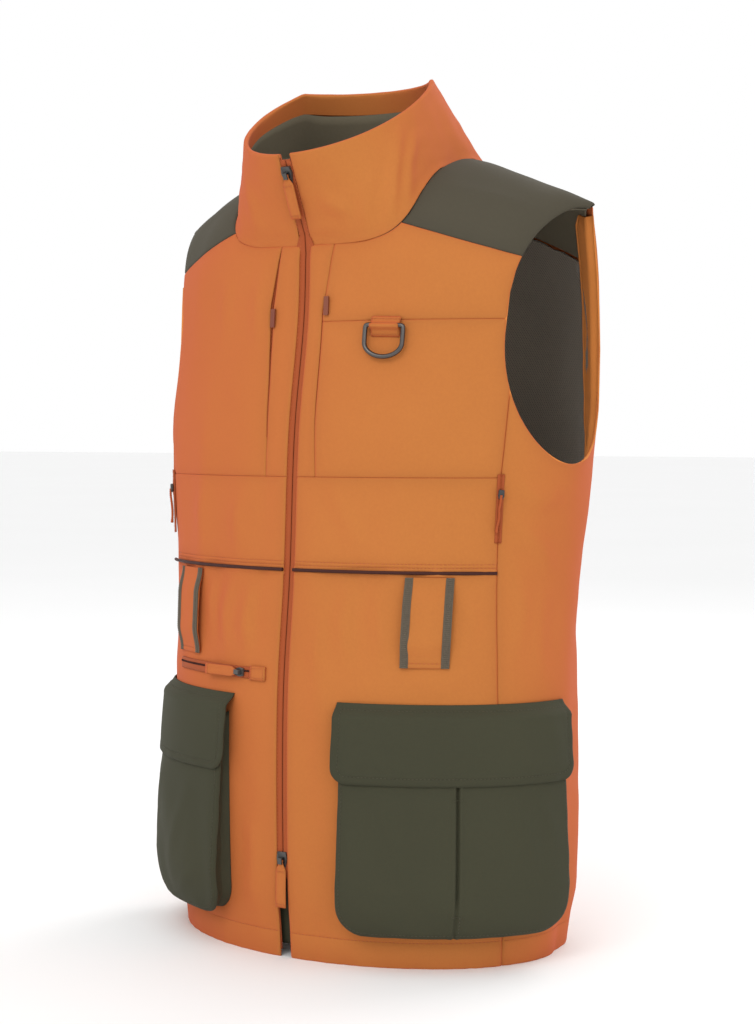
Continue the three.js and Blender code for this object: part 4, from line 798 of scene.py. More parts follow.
def row_tree():
    """Small rounded beads along a line: stitches, coil teeth and ribs."""
    tree = bpy.data.node_groups.get("Row of beads")
    if tree:
        return tree
    tree = bpy.data.node_groups.new("Row of beads", "GeometryNodeTree")
    sockets = (
        ("Line", "NodeSocketGeometry", None), ("Pitch", "NodeSocketFloat", 0.0033),
        ("Size", "NodeSocketVector", (0.0006, 0.0006, 0.0024)), ("Across", "NodeSocketVector", (1, 0, 0)),
        ("Smoothness", "NodeSocketInt", 1), ("Material", "NodeSocketMaterial", None),
    )
    for label, kind, default in sockets:
        socket = tree.interface.new_socket(label, in_out="INPUT", socket_type=kind)
        if default is not None:
            socket.default_value = default
    tree.interface.new_socket("Beads", in_out="OUTPUT", socket_type="NodeSocketGeometry")
    ins = tree.nodes.new("NodeGroupInput").outputs
    curve = node(tree, "GeometryNodeMeshToCurve", {"Mesh": ins["Line"]}).outputs[0]
    points = node(tree, "GeometryNodeCurveToPoints", {"Curve": curve, "Length": ins["Pitch"]}, mode="LENGTH")
    along = node(tree, "FunctionNodeAlignRotationToVector", {"Vector": points.outputs["Tangent"]}, axis="Z")
    turned = node(
        tree, "FunctionNodeAlignRotationToVector",
        {"Rotation": along.outputs[0], "Vector": ins["Across"]}, axis="X", pivot_axis="Z",
    )
    half = node(tree, "ShaderNodeVectorMath", {0: ins["Size"], "Scale": 0.5}, operation="SCALE").outputs[0]
    ball = node(
        tree, "GeometryNodeMeshIcoSphere", {"Radius": 1.0, "Subdivisions": ins["Smoothness"]}
    ).outputs["Mesh"]
    shaped = node(tree, "GeometryNodeTransform", {"Geometry": ball, "Scale": half}).outputs[0]
    beads = node(
        tree, "GeometryNodeInstanceOnPoints",
        {"Points": points.outputs["Points"], "Instance": shaped, "Rotation": turned.outputs[0]},
    ).outputs[0]
    real = node(tree, "GeometryNodeRealizeInstances", {"Geometry": beads}).outputs[0]
    shaded = node(tree, "GeometryNodeSetShadeSmooth", {"Geometry": real}).outputs[0]
    finished = node(
        tree, "GeometryNodeSetMaterial", {"Geometry": shaded, "Material": ins["Material"]}
    ).outputs[0]
    tree.links.new(finished, tree.nodes.new("NodeGroupOutput").inputs[0])
    return tree


def grow(name, lines, tree, values, side=1):
    """Runs a Geometry Nodes tree over lines of points, in torso millimetres, and keeps the plain mesh."""
    points, edges = [], []
    for line in lines:
        line = np.asarray(line, float)
        start = len(points)
        points.extend(line.tolist())
        edges.extend((start + k, start + k + 1) for k in range(len(line) - 1))
    points = np.array(points)
    if side < 0:
        points[:, 0] *= -1
    points[:, 1] += SHIFT_Y
    guide_mesh = bpy.data.meshes.new(name + "_guide")
    guide_mesh.from_pydata((points / 1000).tolist(), edges, [])
    guide = bpy.data.objects.new(name + "_guide", guide_mesh)
    bpy.context.scene.collection.objects.link(guide)
    modifier = guide.modifiers.new("Grow", "NODES")
    modifier.node_group = tree
    for item in tree.interface.items_tree:
        if item.item_type == "SOCKET" and item.in_out == "INPUT" and item.name in values:
            modifier[item.identifier] = values[item.name]
    graph = bpy.context.evaluated_depsgraph_get()
    grown = bpy.data.meshes.new_from_object(guide.evaluated_get(graph), depsgraph=graph)
    bpy.data.objects.remove(guide)
    bpy.data.meshes.remove(guide_mesh)
    grown.name = name
    if not len(grown.polygons):
        raise RuntimeError(f"{name} grew no faces")
    coords = np.empty(len(grown.vertices) * 3, np.float32)
    grown.vertices.foreach_get("co", coords)
    layer = grown.uv_layers.get("cloth") or grown.uv_layers.new(name="cloth")
    corners = np.empty(len(grown.loops), dtype=np.int64)
    grown.loops.foreach_get("vertex_index", corners)
    layer.data.foreach_set("uv", coords.reshape(-1, 3)[corners][:, [0, 2]].ravel())
    piece = bpy.data.objects.new(name, grown)
    bpy.context.scene.collection.objects.link(piece)
    return piece


def sew(name, lines, material, side=1, body=VEST, pitch=None, length=None):
    """A row of stitches along each line, riding with the cloth that they hold."""
    stitch = bpy.context.scene.vest_stitches
    thick = stitch.thickness * 1000
    values = {
        "Pitch": pitch or stitch.pitch,
        "Size": (thick / 1000, thick / 1000, length or stitch.length),
        "Material": material,
    }
    lines = [line for line in lines if len(line) > 1]
    piece = grow(name, lines, row_tree(), values, side)
    finish_piece(piece, body=body)
    return piece


def bead_row(name, line, size, pitch, material, side=1, across=(1, 0, 0), stands_for=None):
    """Teeth or ribs along a line, with their size and pitch in metres."""
    values = {"Pitch": pitch, "Size": size, "Across": across, "Material": material}
    finish_piece(grow(name, [line], row_tree(), values, side), stands_for)


def line_beside(sheet, edge, distance, offset=0.1, start=0.0, end=1.0):
    """The line on a sheet that runs along one edge at a distance from it."""
    field = getattr(sheet, edge)
    surface = sheet.at(offset)
    if edge in ("low", "high"):
        surface, field = surface.transpose(1, 0, 2), field.T
    if edge in ("high", "right"):
        surface, field = surface[:, ::-1], field[:, ::-1]
    line = []
    for points, gone in zip(surface, field):
        if gone[-1] < distance:
            continue
        line.append([np.interp(distance, gone, points[:, k]) for k in range(3)])
    line = np.array(line)
    count = len(line)
    return line[int(round(start * (count - 1))) : int(round(end * (count - 1))) + 1]


# ---- How the cloth hangs ----------------------------------------------------------------------


def calm(p, spots, reach):
    """1 away from every spot and 0 on one, so that a fitting sits on still cloth."""
    still = np.ones(p.shape[:-1])
    for spot in spots:
        still *= 1 - np.exp(-((np.linalg.norm(p - spot, axis=-1) / reach) ** 2))
    return still


def on_front(arc, z, side=1):
    """The surface's point that far round from the centre front, at height z."""
    x, y, z = wall(angle_of_arc(arc, z), z)
    return np.array([x * side, y, z])


FITTINGS = [
    on_front(82, 528), on_front(197, 392), on_front(197, 392, -1), on_front(46, 242, -1),
    on_front(21, 554), on_front(34, 550, -1), on_front(20, 526),
]


def drape(p, side=1):
    """The vest's own soft unevenness, the same for every layer at a place."""
    q = p * np.array([side, 1, 1])
    x, y, z = np.moveaxis(q, -1, 0)
    forward = smooth(-y, -25, 25)
    pocket = forward * (1 - smooth(z, 236, 268)) * smooth(np.abs(x), 38, 56)
    amount = mix(1.5, 0.95, forward) * (1 - 0.85 * pocket) * smooth(np.abs(x) + 60 * (1 - forward), 7, 34)
    amount = amount * calm(q, FITTINGS, 22.0) * (1 - 0.6 * smooth(z, 560, 640))
    long_folds = swell(q, 11, 92.0, (1.5, 1.5, 0.3)) * (1 - 0.5 * smooth(z, 380, 480))
    return amount * (long_folds * bpy.context.scene.vest_cloth.fold_depth * 1000 + 0.22 * swell(q, 12, 36.0))


# Soft folds that the front shows, as lines of (arc, z), with width and height.
FOLDS = {
    "left": [
        ([(60, 322), (55, 290), (62, 252)], 7, 1.1), ([(84, 322), (88, 292), (96, 262)], 6, 0.8),
        ([(40, 405), (52, 380), (70, 352)], 7, 0.8), ([(200, 405), (222, 392), (246, 398)], 8, 1.5),
        ([(203, 372), (226, 352), (240, 330)], 8, 1.2), ([(204, 330), (212, 300), (208, 262)], 7, 1.0),
        ([(232, 320), (228, 282), (236, 240)], 9, 1.0), ([(160, 322), (166, 290), (160, 255)], 8, 0.7),
        ([(118, 250), (140, 238), (168, 246)], 7, 0.6), ([(36, 300), (33, 262), (38, 220)], 6, 0.7),
    ],
    "right": [
        ([(40, 322), (46, 286), (40, 256)], 7, 1.3), ([(66, 322), (74, 292), (70, 262)], 7, 1.4),
        ([(92, 326), (98, 300), (92, 262)], 6, 1.0), ([(130, 322), (136, 300), (132, 268)], 7, 0.9),
        ([(60, 400), (64, 372), (60, 342)], 7, 0.8), ([(110, 404), (118, 376), (112, 342)], 8, 0.8),
        ([(46, 595), (52, 560), (50, 520)], 8, 0.9), ([(90, 590), (96, 560), (92, 520)], 9, 0.7),
        ([(36, 120), (32, 80), (38, 40)], 7, 0.9), ([(200, 405), (222, 388), (240, 392)], 8, 1.4),
    ],
}


def folds(p, side_name):
    total = np.zeros(p.shape[:-1])
    for line, width, height in FOLDS[side_name]:
        points = [on_front(arc, z) for arc, z in line]
        total += ridge(p, points, width, 1.9 * height)
    return total


# ---- Shell pieces -----------------------------------------------------------------------------

STEP = 5.0
CHEST_SLIT = {  # middle of each chest zip's slit, as (height, distance from the centre)
    "left": ([411, 414, 458, 553, 557, 612], [24, 24, 21.5, 20, 21, 30]),
    "right": ([411, 415, 443, 499, 557, 600, 612], [29.5, 29.5, 29.5, 32, 35, 27, 25]),
}
SLIT_HALF = {  # half the slit's opening
    "left": ([411, 445, 480, 545, 560, 612], [0.06, 0.1, 0.35, 0.4, 0.1, 0.06]),
    "right": ([411, 440, 462, 500, 560, 590, 612], [0.06, 0.1, 0.6, 0.9, 2.0, 1.0, 0.1]),
}


def slit_angle(side, z, edge):
    x = np.interp(z, *CHEST_SLIT[side]) + edge * np.interp(z, *SLIT_HALF[side])
    return angle_of_x(x, z)


def zip_edge(z):
    return angle_of_x(ZIP_HALF + HALF_SEAM, z)


def panel(name, side, start, end, low, high, lines=None, via=None, roll=None):
    """One flat-cut piece of the shell, with its turned edges, folds and puckers."""
    lines, roll = lines or {}, roll or {}
    middle = 0.5 * (float(value_at(low, np.array(40.0))) + float(value_at(high, np.array(40.0))))
    t0, t1 = float(value_at(start, np.array(middle))), float(value_at(end, np.array(middle)))
    width = np.linalg.norm(np.diff(wall(np.linspace(t0, t1, 40), middle), axis=0), axis=1).sum()
    height = float(np.max(value_at(high, np.array([t0, t1])) - value_at(low, np.array([t0, t1]))))
    near = {edge: grooved(*lines.get(edge, ())) for edge in ("left", "right", "low", "high")}
    us = shares(width, STEP, near["left"], near["right"])
    vs = shares(height, STEP, near["low"], near["high"])
    via_share = None
    if via is not None:
        via_share = (via - t0) / (t1 - t0)
        us[np.abs(us - via_share).argmin()] = via_share
    t, z = wall_grid(low, high, start, end, us, vs, via, via_share)
    sheet = Sheet(wall(t, z), (t0 * 3.4, middle - height / 2))
    relief = np.zeros(t.shape)
    for edge in ("left", "right", "low", "high"):
        distance = getattr(sheet, edge)
        edge_lines = lines.get(edge, ())
        relief += edge_relief(distance, edge_lines, roll.get(edge, 0.8))
        if edge_lines:
            relief += pucker(sheet.p * (SIDES[side], 1, 1), distance, 21, 0.45)
    relief += drape(sheet.p, SIDES[side]) + folds(sheet.p, side)
    cloth_piece(f"{name}_{side}", sheet, relief, orange(), side=SIDES[side])
    return sheet, relief


def make_front(side):
    seam = {"roll": {"left": 0.7, "right": 0.6, "low": 0.5, "high": 0.5}}
    outer = lambda z: front_edge(z) - HALF_SEAM_ANGLE
    rows = []
    lower, relief = panel(
        "front_lower", side, zip_edge, outer, 0.0, WAIST_Z - HALF_SEAM, lines={
            "low": (22.0,), "high": (4.0,)
        }, **seam
    )
    rows.append(line_beside(lower, "low", 22.0, relief + 0.15))
    middle, relief = panel(
        "front_middle", side, zip_edge, outer, WAIST_Z + HALF_SEAM, LOWER_CHEST_Z - HALF_SEAM,
        lines={"low": (4.0, 7.0)}, **seam,
    )
    rows += [line_beside(middle, "low", d, relief + 0.15) for d in (4.0, 7.0)]
    panel(
        "placket", side, zip_edge, lambda z: slit_angle(side, z, -1), LOWER_CHEST_Z + HALF_SEAM, front_top,
        **seam
    )
    chest = dict(
        start=lambda z: slit_angle(side, z, 1), end=outer, low=LOWER_CHEST_Z + HALF_SEAM, via=YOKE_CORNER
    )
    if side == "right":
        panel("front_chest", side, high=front_top, **chest, **seam)
    else:
        panel("front_chest", side, high=UPPER_CHEST_Z - HALF_SEAM, **chest, **seam)
        chest["low"] = UPPER_CHEST_Z + HALF_SEAM
        panel("front_upper", side, high=front_top, **chest, **seam)
    sew(f"front_stitches_{side}", rows, orange_thread(), SIDES[side])


def make_side(side):
    start = lambda z: side_seam(z) + HALF_SEAM_ANGLE
    sheet, relief = panel(
        "side_panel", side, start, SIDE_SEAM_BACK - HALF_SEAM_ANGLE, 0.0, armhole_z, lines={"low": (22.0,)},
        roll={"left": 1.0, "right": 0.7},
    )
    sew(
        f"side_stitches_{side}", [line_beside(sheet, "low", 22.0, relief + 0.15)], orange_thread(),
        SIDES[side]
    )


def make_back():
    """The back, from the hem over the shoulder blades to the yoke's back seam and the neckline."""
    yoke_limit = 2 - (YOKE_BACK_TURN - 90) / 90
    back_neck = lambda x: NECK_POINT_Z - neck_drop(x, BACK_NECK_DROP)

    def top_row(x):
        k = clamp((back_neck(x) - HALF_SEAM - ridge_z(x)) / BACK_ROLL + 1)
        return np.minimum(yoke_limit - math.degrees(0.4 / BACK_ROLL) / 90, 1 + np.degrees(np.arcsin(k)) / 90)

    us = shares(520, 7.0, EDGE, EDGE)
    vs = shares(690, 7.0, grooved(22.0), EDGE)
    u, v = np.meshgrid(us, vs)
    z, t = v * LOWER_CHEST_Z, 0 * u
    for _ in range(14):
        x = half_width(z) * sin_deg(t)
        bend = ridge_z(x) - BACK_ROLL
        w = v * top_row(x)
        z = np.where(w <= 1, w * bend, bend + BACK_ROLL * sin_deg(90 * (w - 1)))
        edge = 180 - back_edge(z) - HALF_SEAM_ANGLE
        t = mix(edge, -edge, u)
    points = np.where((w <= 1)[..., None], wall(180 - t, z), shoulder(t, 270 - 90 * w))
    sheet = Sheet(points)
    relief = sum(edge_relief(getattr(sheet, edge), (), 0.7) for edge in ("left", "right", "high"))
    relief = relief + edge_relief(sheet.low, (22.0,), 0.8) + pucker(
        sheet.p, sheet.low, 22, 0.3
    ) + drape(sheet.p)
    for line, width, height in (
        ([(40, 150, 620), (90, 140, 560), (120, 130, 480)], 12, 1.6),
        ([(-50, 150, 630), (-96, 140, 560), (-120, 130, 470)], 12, 1.4),
        ([(30, 150, 360), (36, 150, 300), (20, 150, 230)], 14, 1.8),
        ([(-44, 150, 340), (-30, 150, 280), (-44, 150, 200)], 14, 1.6),
    ):
        line = [(x, float(wall(180 - angle_of_x(x, z), z)[1]), z) for x, _, z in line]
        relief = relief + ridge(sheet.p, line, width, height)
    cloth_piece("back_panel", sheet, relief, orange())
    sew("back_stitches", [line_beside(sheet, "low", 22.0, relief + 0.15)], orange_thread())


def over_shoulder(rows, columns, turn_at, inner_x=None):
    """Points of a cloth over the shoulder, from the yoke's front seam towards the back."""
    u, v = np.meshgrid(columns, rows)
    t, turn = 0 * u + 45, 0 * u + 60
    for _ in range(14):
        x = SHOULDER_HALF_WIDTH * sin_deg(t)
        turn = turn_at(v, x)
        roll = np.where(turn < 90, FRONT_ROLL, BACK_ROLL)
        drop = roll * (1 - sin_deg(turn))
        z = ridge_z(x) - drop
        neck = np.where(turn < 90, neck_x(NECK_POINT_Z - drop), NECK_HALF_WIDTH)
        if inner_x:
            neck = inner_x(turn, neck)
        tip = SHOULDER_TIP + 0 * u
        for _ in range(4):
            tip_z = ridge_z(tip) - drop
            angle = np.where(turn > 90, armhole_angle(tip_z, True), armhole_angle(tip_z))
            tip = half_width(tip_z) * sin_deg(angle)
        t = mix(angle_of_x(neck, z) + HALF_SEAM_ANGLE, angle_of_x(tip, z), u)
    return shoulder(t, turn)


def make_yoke(side):
    gap_turn = math.degrees(0.8 / BACK_ROLL)
    turn_at = lambda v, x: mix(yoke_seam_turn(x), YOKE_BACK_TURN - gap_turn, v)
    columns, rows = shares(125, 4.0, EDGE, EDGE), shares(110, 4.0, EDGE, EDGE)
    sheet = Sheet(over_shoulder(rows, columns, turn_at), (0, 600))
    relief = sum(edge_relief(getattr(sheet, edge), (), 0.8) for edge in ("left", "right", "low", "high"))
    relief = relief + 0.7 * drape(sheet.p, SIDES[side]) + 0.5 * swell(
        sheet.p * (SIDES[side], 1, 1), 31, 42, (1, 1, 0.6)
    )
    relief = relief + ridge(sheet.p, [(110, -52, 655), (150, -38, 650), (190, -20, 635)], 7, 1.0)
    cloth_piece(f"yoke_{side}", sheet, relief, olive_yoke_with_painted_light(), side=SIDES[side])


# ---- Collar -----------------------------------------------------------------------------------

COLLAR_TOP_WIDTH = 84.0
COLLAR_TOP_DEPTH = 80.0
COLLAR_FORWARD = 52.0
COLLAR_FRONT_Z = 681.0
COLLAR_TILT = 0.6
COLLAR_LEVEL = -8.0
COLLAR_FOLD = 18.0
COLLAR_WALL = 4.5
COLLAR_LIFT = 2.1  # the collar stands this far inside the neckline


def neckline():
    angle = np.arange(0, 181.0)
    power = 2 / NECK_POWER
    x = NECK_HALF_WIDTH * clamp(sin_deg(angle)) ** power
    drop = np.where(angle < 90, NECK_RISE, BACK_NECK_DROP) * np.abs(cos_deg(angle)) ** power
    z = NECK_POINT_Z - drop
    t = angle_of_x(x, z)
    points = wall(np.where(angle < 90, t, 180 - t), z)
    lengths = np.concatenate([[0], np.cumsum(np.linalg.norm(np.diff(points, axis=0), axis=1))])
    return points, lengths


NECK_POINTS, NECK_LENGTHS = neckline()
FRONT_SHARE = (ZIP_HALF + 0.4) / NECK_LENGTHS[-1]


def collar_base(s):
    wanted = clamp(s) * NECK_LENGTHS[-1]
    p = np.stack([np.interp(wanted, NECK_LENGTHS, NECK_POINTS[:, k]) for k in range(3)], axis=-1)
    inward = np.stack([-p[..., 0], -18.0 - p[..., 1], 0 * p[..., 0]], axis=-1)
    return p + COLLAR_LIFT * unit(inward)


def collar_top(s):
    s = clamp(s)
    edge = math.asin((ZIP_HALF + 0.4) / COLLAR_TOP_WIDTH)
    angle = np.where(
        s < FRONT_SHARE, edge * s / FRONT_SHARE, mix(edge, math.pi, (s - FRONT_SHARE) / (1 - FRONT_SHARE))
    )
    y = -COLLAR_FORWARD - COLLAR_TOP_DEPTH * np.cos(angle)
    front = -COLLAR_FORWARD - COLLAR_TOP_DEPTH
    rise = COLLAR_TILT * (np.minimum(y, COLLAR_LEVEL) - front)
    return np.stack([COLLAR_TOP_WIDTH * np.sin(angle), y, COLLAR_FRONT_Z + rise], axis=-1)


def collar_wall(share, h, depth=0.0, down=0.0):
    """Points of the collar at a share round, mirrored where negative, at height share h."""
    share, h, depth, down = np.broadcast_arrays(*[np.asarray(a, float) for a in (share, h, depth, down)])
    s = np.abs(share)
    base, top = collar_base(s), collar_top(s)
    around = collar_top(np.minimum(s + 0.02, 1)) - collar_top(np.maximum(s - 0.02, 0))
    up = unit(top - base)
    inward = unit(np.cross(up, around))
    middle = np.stack([-base[..., 0], -COLLAR_FORWARD - base[..., 1], 0 * s], axis=-1)
    inward = np.where((np.sum(inward * middle, axis=-1) < 0)[..., None], -inward, inward)
    p = base + (top - base) * h[..., None] + inward * depth[..., None] - up * down[..., None]
    p[..., 0] = np.where(share < 0, -p[..., 0], p[..., 0])
    return p


def collar_share(u):
    s = mix(FRONT_SHARE, 2 - FRONT_SHARE, u)
    return np.where(s <= 1, s, s - 2)


# Folds of the standing collar: from (share round, height) to (share round, height), width and height in mm.
COLLAR_FOLDS = [
    ((0.235, 0.02), (0.30, 0.42), (0.385, 0.86), 5.0, 3.6),
    ((0.30, 0.03), (0.365, 0.40), (0.44, 0.72), 5.0, 3.2),
    ((0.17, 0.04), (0.20, 0.36), (0.245, 0.60), 5.5, 2.0),
    ((0.07, 0.52), (0.12, 0.38), (0.16, 0.30), 5.5, 2.2),
    ((-0.03, 0.20), (-0.06, 0.17), (-0.10, 0.20), 3.0, 0.9),
    ((-0.14, 0.1), (-0.18, 0.45), (-0.24, 0.8), 8.0, 1.6),
    ((-0.35, 0.05), (-0.40, 0.4), (-0.46, 0.8), 9.0, 1.8),
    ((0.62, 0.05), (0.60, 0.4), (0.64, 0.85), 10.0, 1.6),
    ((-0.70, 0.1), (-0.72, 0.5), (-0.68, 0.9), 10.0, 1.6),
    ((0.03, 0.2), (0.05, 0.16), (0.09, 0.18), 3.0, 0.8),
]


def make_collar():
    """The outer collar in one closed piece: its wall, its rounded edge and the cloth turned down inside."""
    us = shares(560, 4.0, EDGE, EDGE)
    wall_heights = shares(82, 4.0, EDGE, (1.5, 3.5))
    rows = [(h, 0.0, 0.0) for h in wall_heights]
    for a in (25, 55, 90, 125, 155):
        rise = -COLLAR_WALL / 2 * 0.8 * sin_deg(a)
        rows.append((1.0, COLLAR_WALL / 2 * (1 - cos_deg(a)), rise))
    rows += [(1.0, COLLAR_WALL, d) for d in (0.0, 3.0, 7.0, 12.0, 16.0, 17.4, COLLAR_FOLD)]
    rows += [(1.0, COLLAR_WALL - CLOTH, d) for d in (COLLAR_FOLD, 9.0, CLOTH)]
    rows += [(h, CLOTH, 0.0) for h in (0.97, 0.6, 0.3, 0.0)]
    h, depth, down = (np.array(row)[:, None] for row in zip(*rows))
    points = collar_wall(collar_share(us)[None, :], h, depth, down)
    outer_count = len(wall_heights)
    sheet = Sheet(points)
    outside = np.zeros(points.shape[:2])
    outside[:outer_count] = 1.0
    outside[outer_count : outer_count + 5] = np.linspace(0.9, 0.5, 5)[:, None]
    relief = np.zeros(points.shape[:2])
    for *line, width, height in COLLAR_FOLDS:
        relief += ridge(points, [collar_wall(s, hh) for s, hh in line], width, height)
    relief += 0.5 * swell(points, 41, 48) + 0.25 * swell(points, 42, 17)
    relief *= outside
    relief[:outer_count] += 1.5 * np.exp(-((sheet.low[:outer_count] / 2.5) ** 2))
    relief[:outer_count] += 0.3 * swell(points[:outer_count], 43, 10) * np.exp(-sheet.low[:outer_count] / 7)
    inward = collar_wall(collar_share(us), 0.5, 1.0) - collar_wall(collar_share(us), 0.5, 0.0)
    moved = points - inward[None] * relief[..., None]
    edge_soft = np.exp(-(sheet.sides() / 1.2) ** 2)
    moved = moved + inward[None] * (edge_soft * (outside > 0.95) * 0.6)[..., None]
    rows_n, columns_n = points.shape[:2]
    index = np.arange(rows_n * columns_n).reshape(rows_n, columns_n)
    faces = []
    for k in range(rows_n):
        m = (k + 1) % rows_n
        a, b = index[k, :-1], index[k, 1:]
        c, d = index[m, 1:], index[m, :-1]
        faces += np.stack([a, b, c, d], axis=1).tolist()
    # End caps join each end's outward run of points to its return run.
    back_start = outer_count + 5 + 7
    for column, turned in ((0, True), (columns_n - 1, False)):
        loop = index[:, column]
        i, j = 0, rows_n - 1
        while j - i > 1:
            outward_longer = (i / back_start) <= (rows_n - 1 - j) / (rows_n - back_start)
            nxt = (loop[i], loop[i + 1], loop[j]) if outward_longer else (loop[i], loop[j - 1], loop[j])
            faces.append(list(nxt) if not turned else list(nxt)[::-1])
            i, j = (i + 1, j) if outward_longer else (i, j - 1)
    # The seam attribute, with which the material paints shade at the collar's base and ends.
    seam = np.exp(-np.minimum(sheet.low, sheet.sides()) / 6)
    flat = moved.reshape(-1, 3)
    piece = make_mesh("collar", flat, faces, sheet.uv, orange(), attributes={"seam": seam})
    outward_faces(piece)
    finish_piece(piece, "collar")
    Sheet(points[:back_start]).declare(piece, "folded")

    lining_rows = [0.0, 0.1, 0.25, 0.4, 0.55, 0.7]
    top_share = 1 - (COLLAR_FOLD - 2) / 80
    h = np.array(lining_rows + [top_share])[:, None]
    points = collar_wall(collar_share(shares(540, 6.0))[None, :], h, COLLAR_WALL - 0.6)
    unevenness = 0.3 * swell(points, 44, 22)
    cloth_piece("collar_lining", Sheet(points), unevenness, olive_lining_with_painted_light(), 0.8)


# ---- Linings and facings ----------------------------------------------------------------------


def hang_lining(name, points, relief, material, side=1, uv_start=(0, 0)):
    """A lining that hangs inside the shell."""
    cloth_piece(name, Sheet(points, uv_start), relief, material, LINING, side, held="hung")


def lining_folds(p):
    """Slack folds of a light lining that hangs a little loose."""
    return 0.9 * swell(p, 61, 46, (1.6, 1.6, 0.7)) + 0.35 * swell(p, 62, 15)


def rim_share(t, z):
    """1 at the lower half of the armhole's edge and 0 from 14 mm off it."""
    across = (t - ARMHOLE_MIDDLE) / ARMHOLE_HALF
    drop = ARMHOLE_WIDEST_Z - ARMHOLE_BOTTOM_Z
    reach = np.hypot(across, np.minimum((z - ARMHOLE_WIDEST_Z) / drop, 0))
    away = np.abs(np.where(z < ARMHOLE_WIDEST_Z, reach, np.abs(across)) - 1) * drop
    return 1 - smooth(away, 3, 14)


LINING_BACK = 5.8  # how far the lining's edge stays behind the armhole's, in degrees


def lining_rim(t):
    """The lining's edge below the armhole, hidden by the facing."""
    share = ARMHOLE_HALF / (ARMHOLE_HALF + LINING_BACK)
    return armhole_z(ARMHOLE_MIDDLE + (t - ARMHOLE_MIDDLE) * share) - 18


def make_linings():
    near = HALF_SEAM_ANGLE
    split = ARMHOLE_MIDDLE
    front_limit = ARMHOLE_MIDDLE - ARMHOLE_HALF - LINING_BACK
    back_limit = ARMHOLE_MIDDLE + ARMHOLE_HALF + LINING_BACK + 0.2
    for side, sign in SIDES.items():
        top = lambda t: np.where(t < front_limit, front_top(t) - 3, lining_rim(t))
        us, vs = shares(230, 9.0, EDGE, EDGE), shares(500, 9.0, EDGE, EDGE)
        share = 0.63  # of the way round, where the lining meets the armhole's front edge
        us[np.abs(us - share).argmin()] = share
        t, z = wall_grid(25.0, top, lambda z: angle_of_x(12.5, z), split - near, us, vs, front_limit, share)
        points = Sheet(wall(t, z)).at(LINING_OUTER)
        relief = np.minimum(lining_folds(points), 1.6) * (1 - rim_share(t, z)) + 2.7 * rim_share(t, z)
        hang_lining(
            f"lining_front_{side}", points, relief, lining_mesh(), sign, uv_start=(40, 0)
        )
    back_low = float(half_width(TIP_Z))
    shoulder_top = lambda t: ridge_z(back_low * sin_deg(t)) - BACK_ROLL * (1 - sin_deg(137.0)) - 1
    turned = lambda t: np.minimum(t, 360 - t)
    top = lambda t: np.where(turned(t) < back_limit, lining_rim(turned(t)), shoulder_top(t))
    us, vs = shares(480, 9.0, EDGE, EDGE), shares(500, 9.0, EDGE, EDGE)
    t, z = wall_grid(25.0, top, split + near, 360 - split - near, us, vs)
    points = Sheet(wall(t, z)).at(LINING_OUTER)
    near = rim_share(turned(t), z)
    relief = np.minimum(lining_folds(points), 1.6) * (1 - near) + 2.7 * near
    hang_lining("lining_back", points, relief, lining_mesh())


def make_yoke_lining(side):
    rows = shares(170, 7.0, EDGE, EDGE)
    columns = shares(120, 7.0, EDGE, EDGE) * 0.94

    def turn_at(v, x):
        low = mix(yoke_seam_turn(x), 96.0, clamp(v / 0.62))
        return np.where(
            v <= 0.62, low, mix(mix(96.0, 116.6, clamp((v - 0.62) / 0.14)), 136.0, clamp((v - 0.76) / 0.24))
        )

    inner = lambda turn, neck: mix(neck, 0.5, smooth(turn, 96.0, 118.0))
    points = over_shoulder(rows, columns, turn_at, inner)
    points = Sheet(points).at(LINING_OUTER)
    hang_lining(
        f"yoke_lining_{side}", points, 0.4 * swell(points, 63, 30), olive_lining_with_painted_light(),
        SIDES[side]
    )


def make_hem_facing():
    us, vs = shares(880, 8.0, EDGE, EDGE), shares(29, 3.0, EDGE, grooved(4.0))
    start = lambda z: angle_of_x(18, z)
    t, z = wall_grid(1.0, 30.0, start, lambda z: 360 - start(z), us, vs)
    points = Sheet(wall(t, z)).at(FACING_OUTER)
    sheet = Sheet(points)
    relief = edge_relief(sheet.high, (4.0,)) + 0.3 * swell(points, 64, 12)
    cloth_piece("hem_facing", sheet, relief, orange(), FACING_THICK)
    rows = [line_beside(sheet, "high", 4.0, -FACING_THICK - 0.15)]
    sew("hem_facing_stitches", rows, orange_thread())


FACING_WIDTH = 38.0  # round the armhole


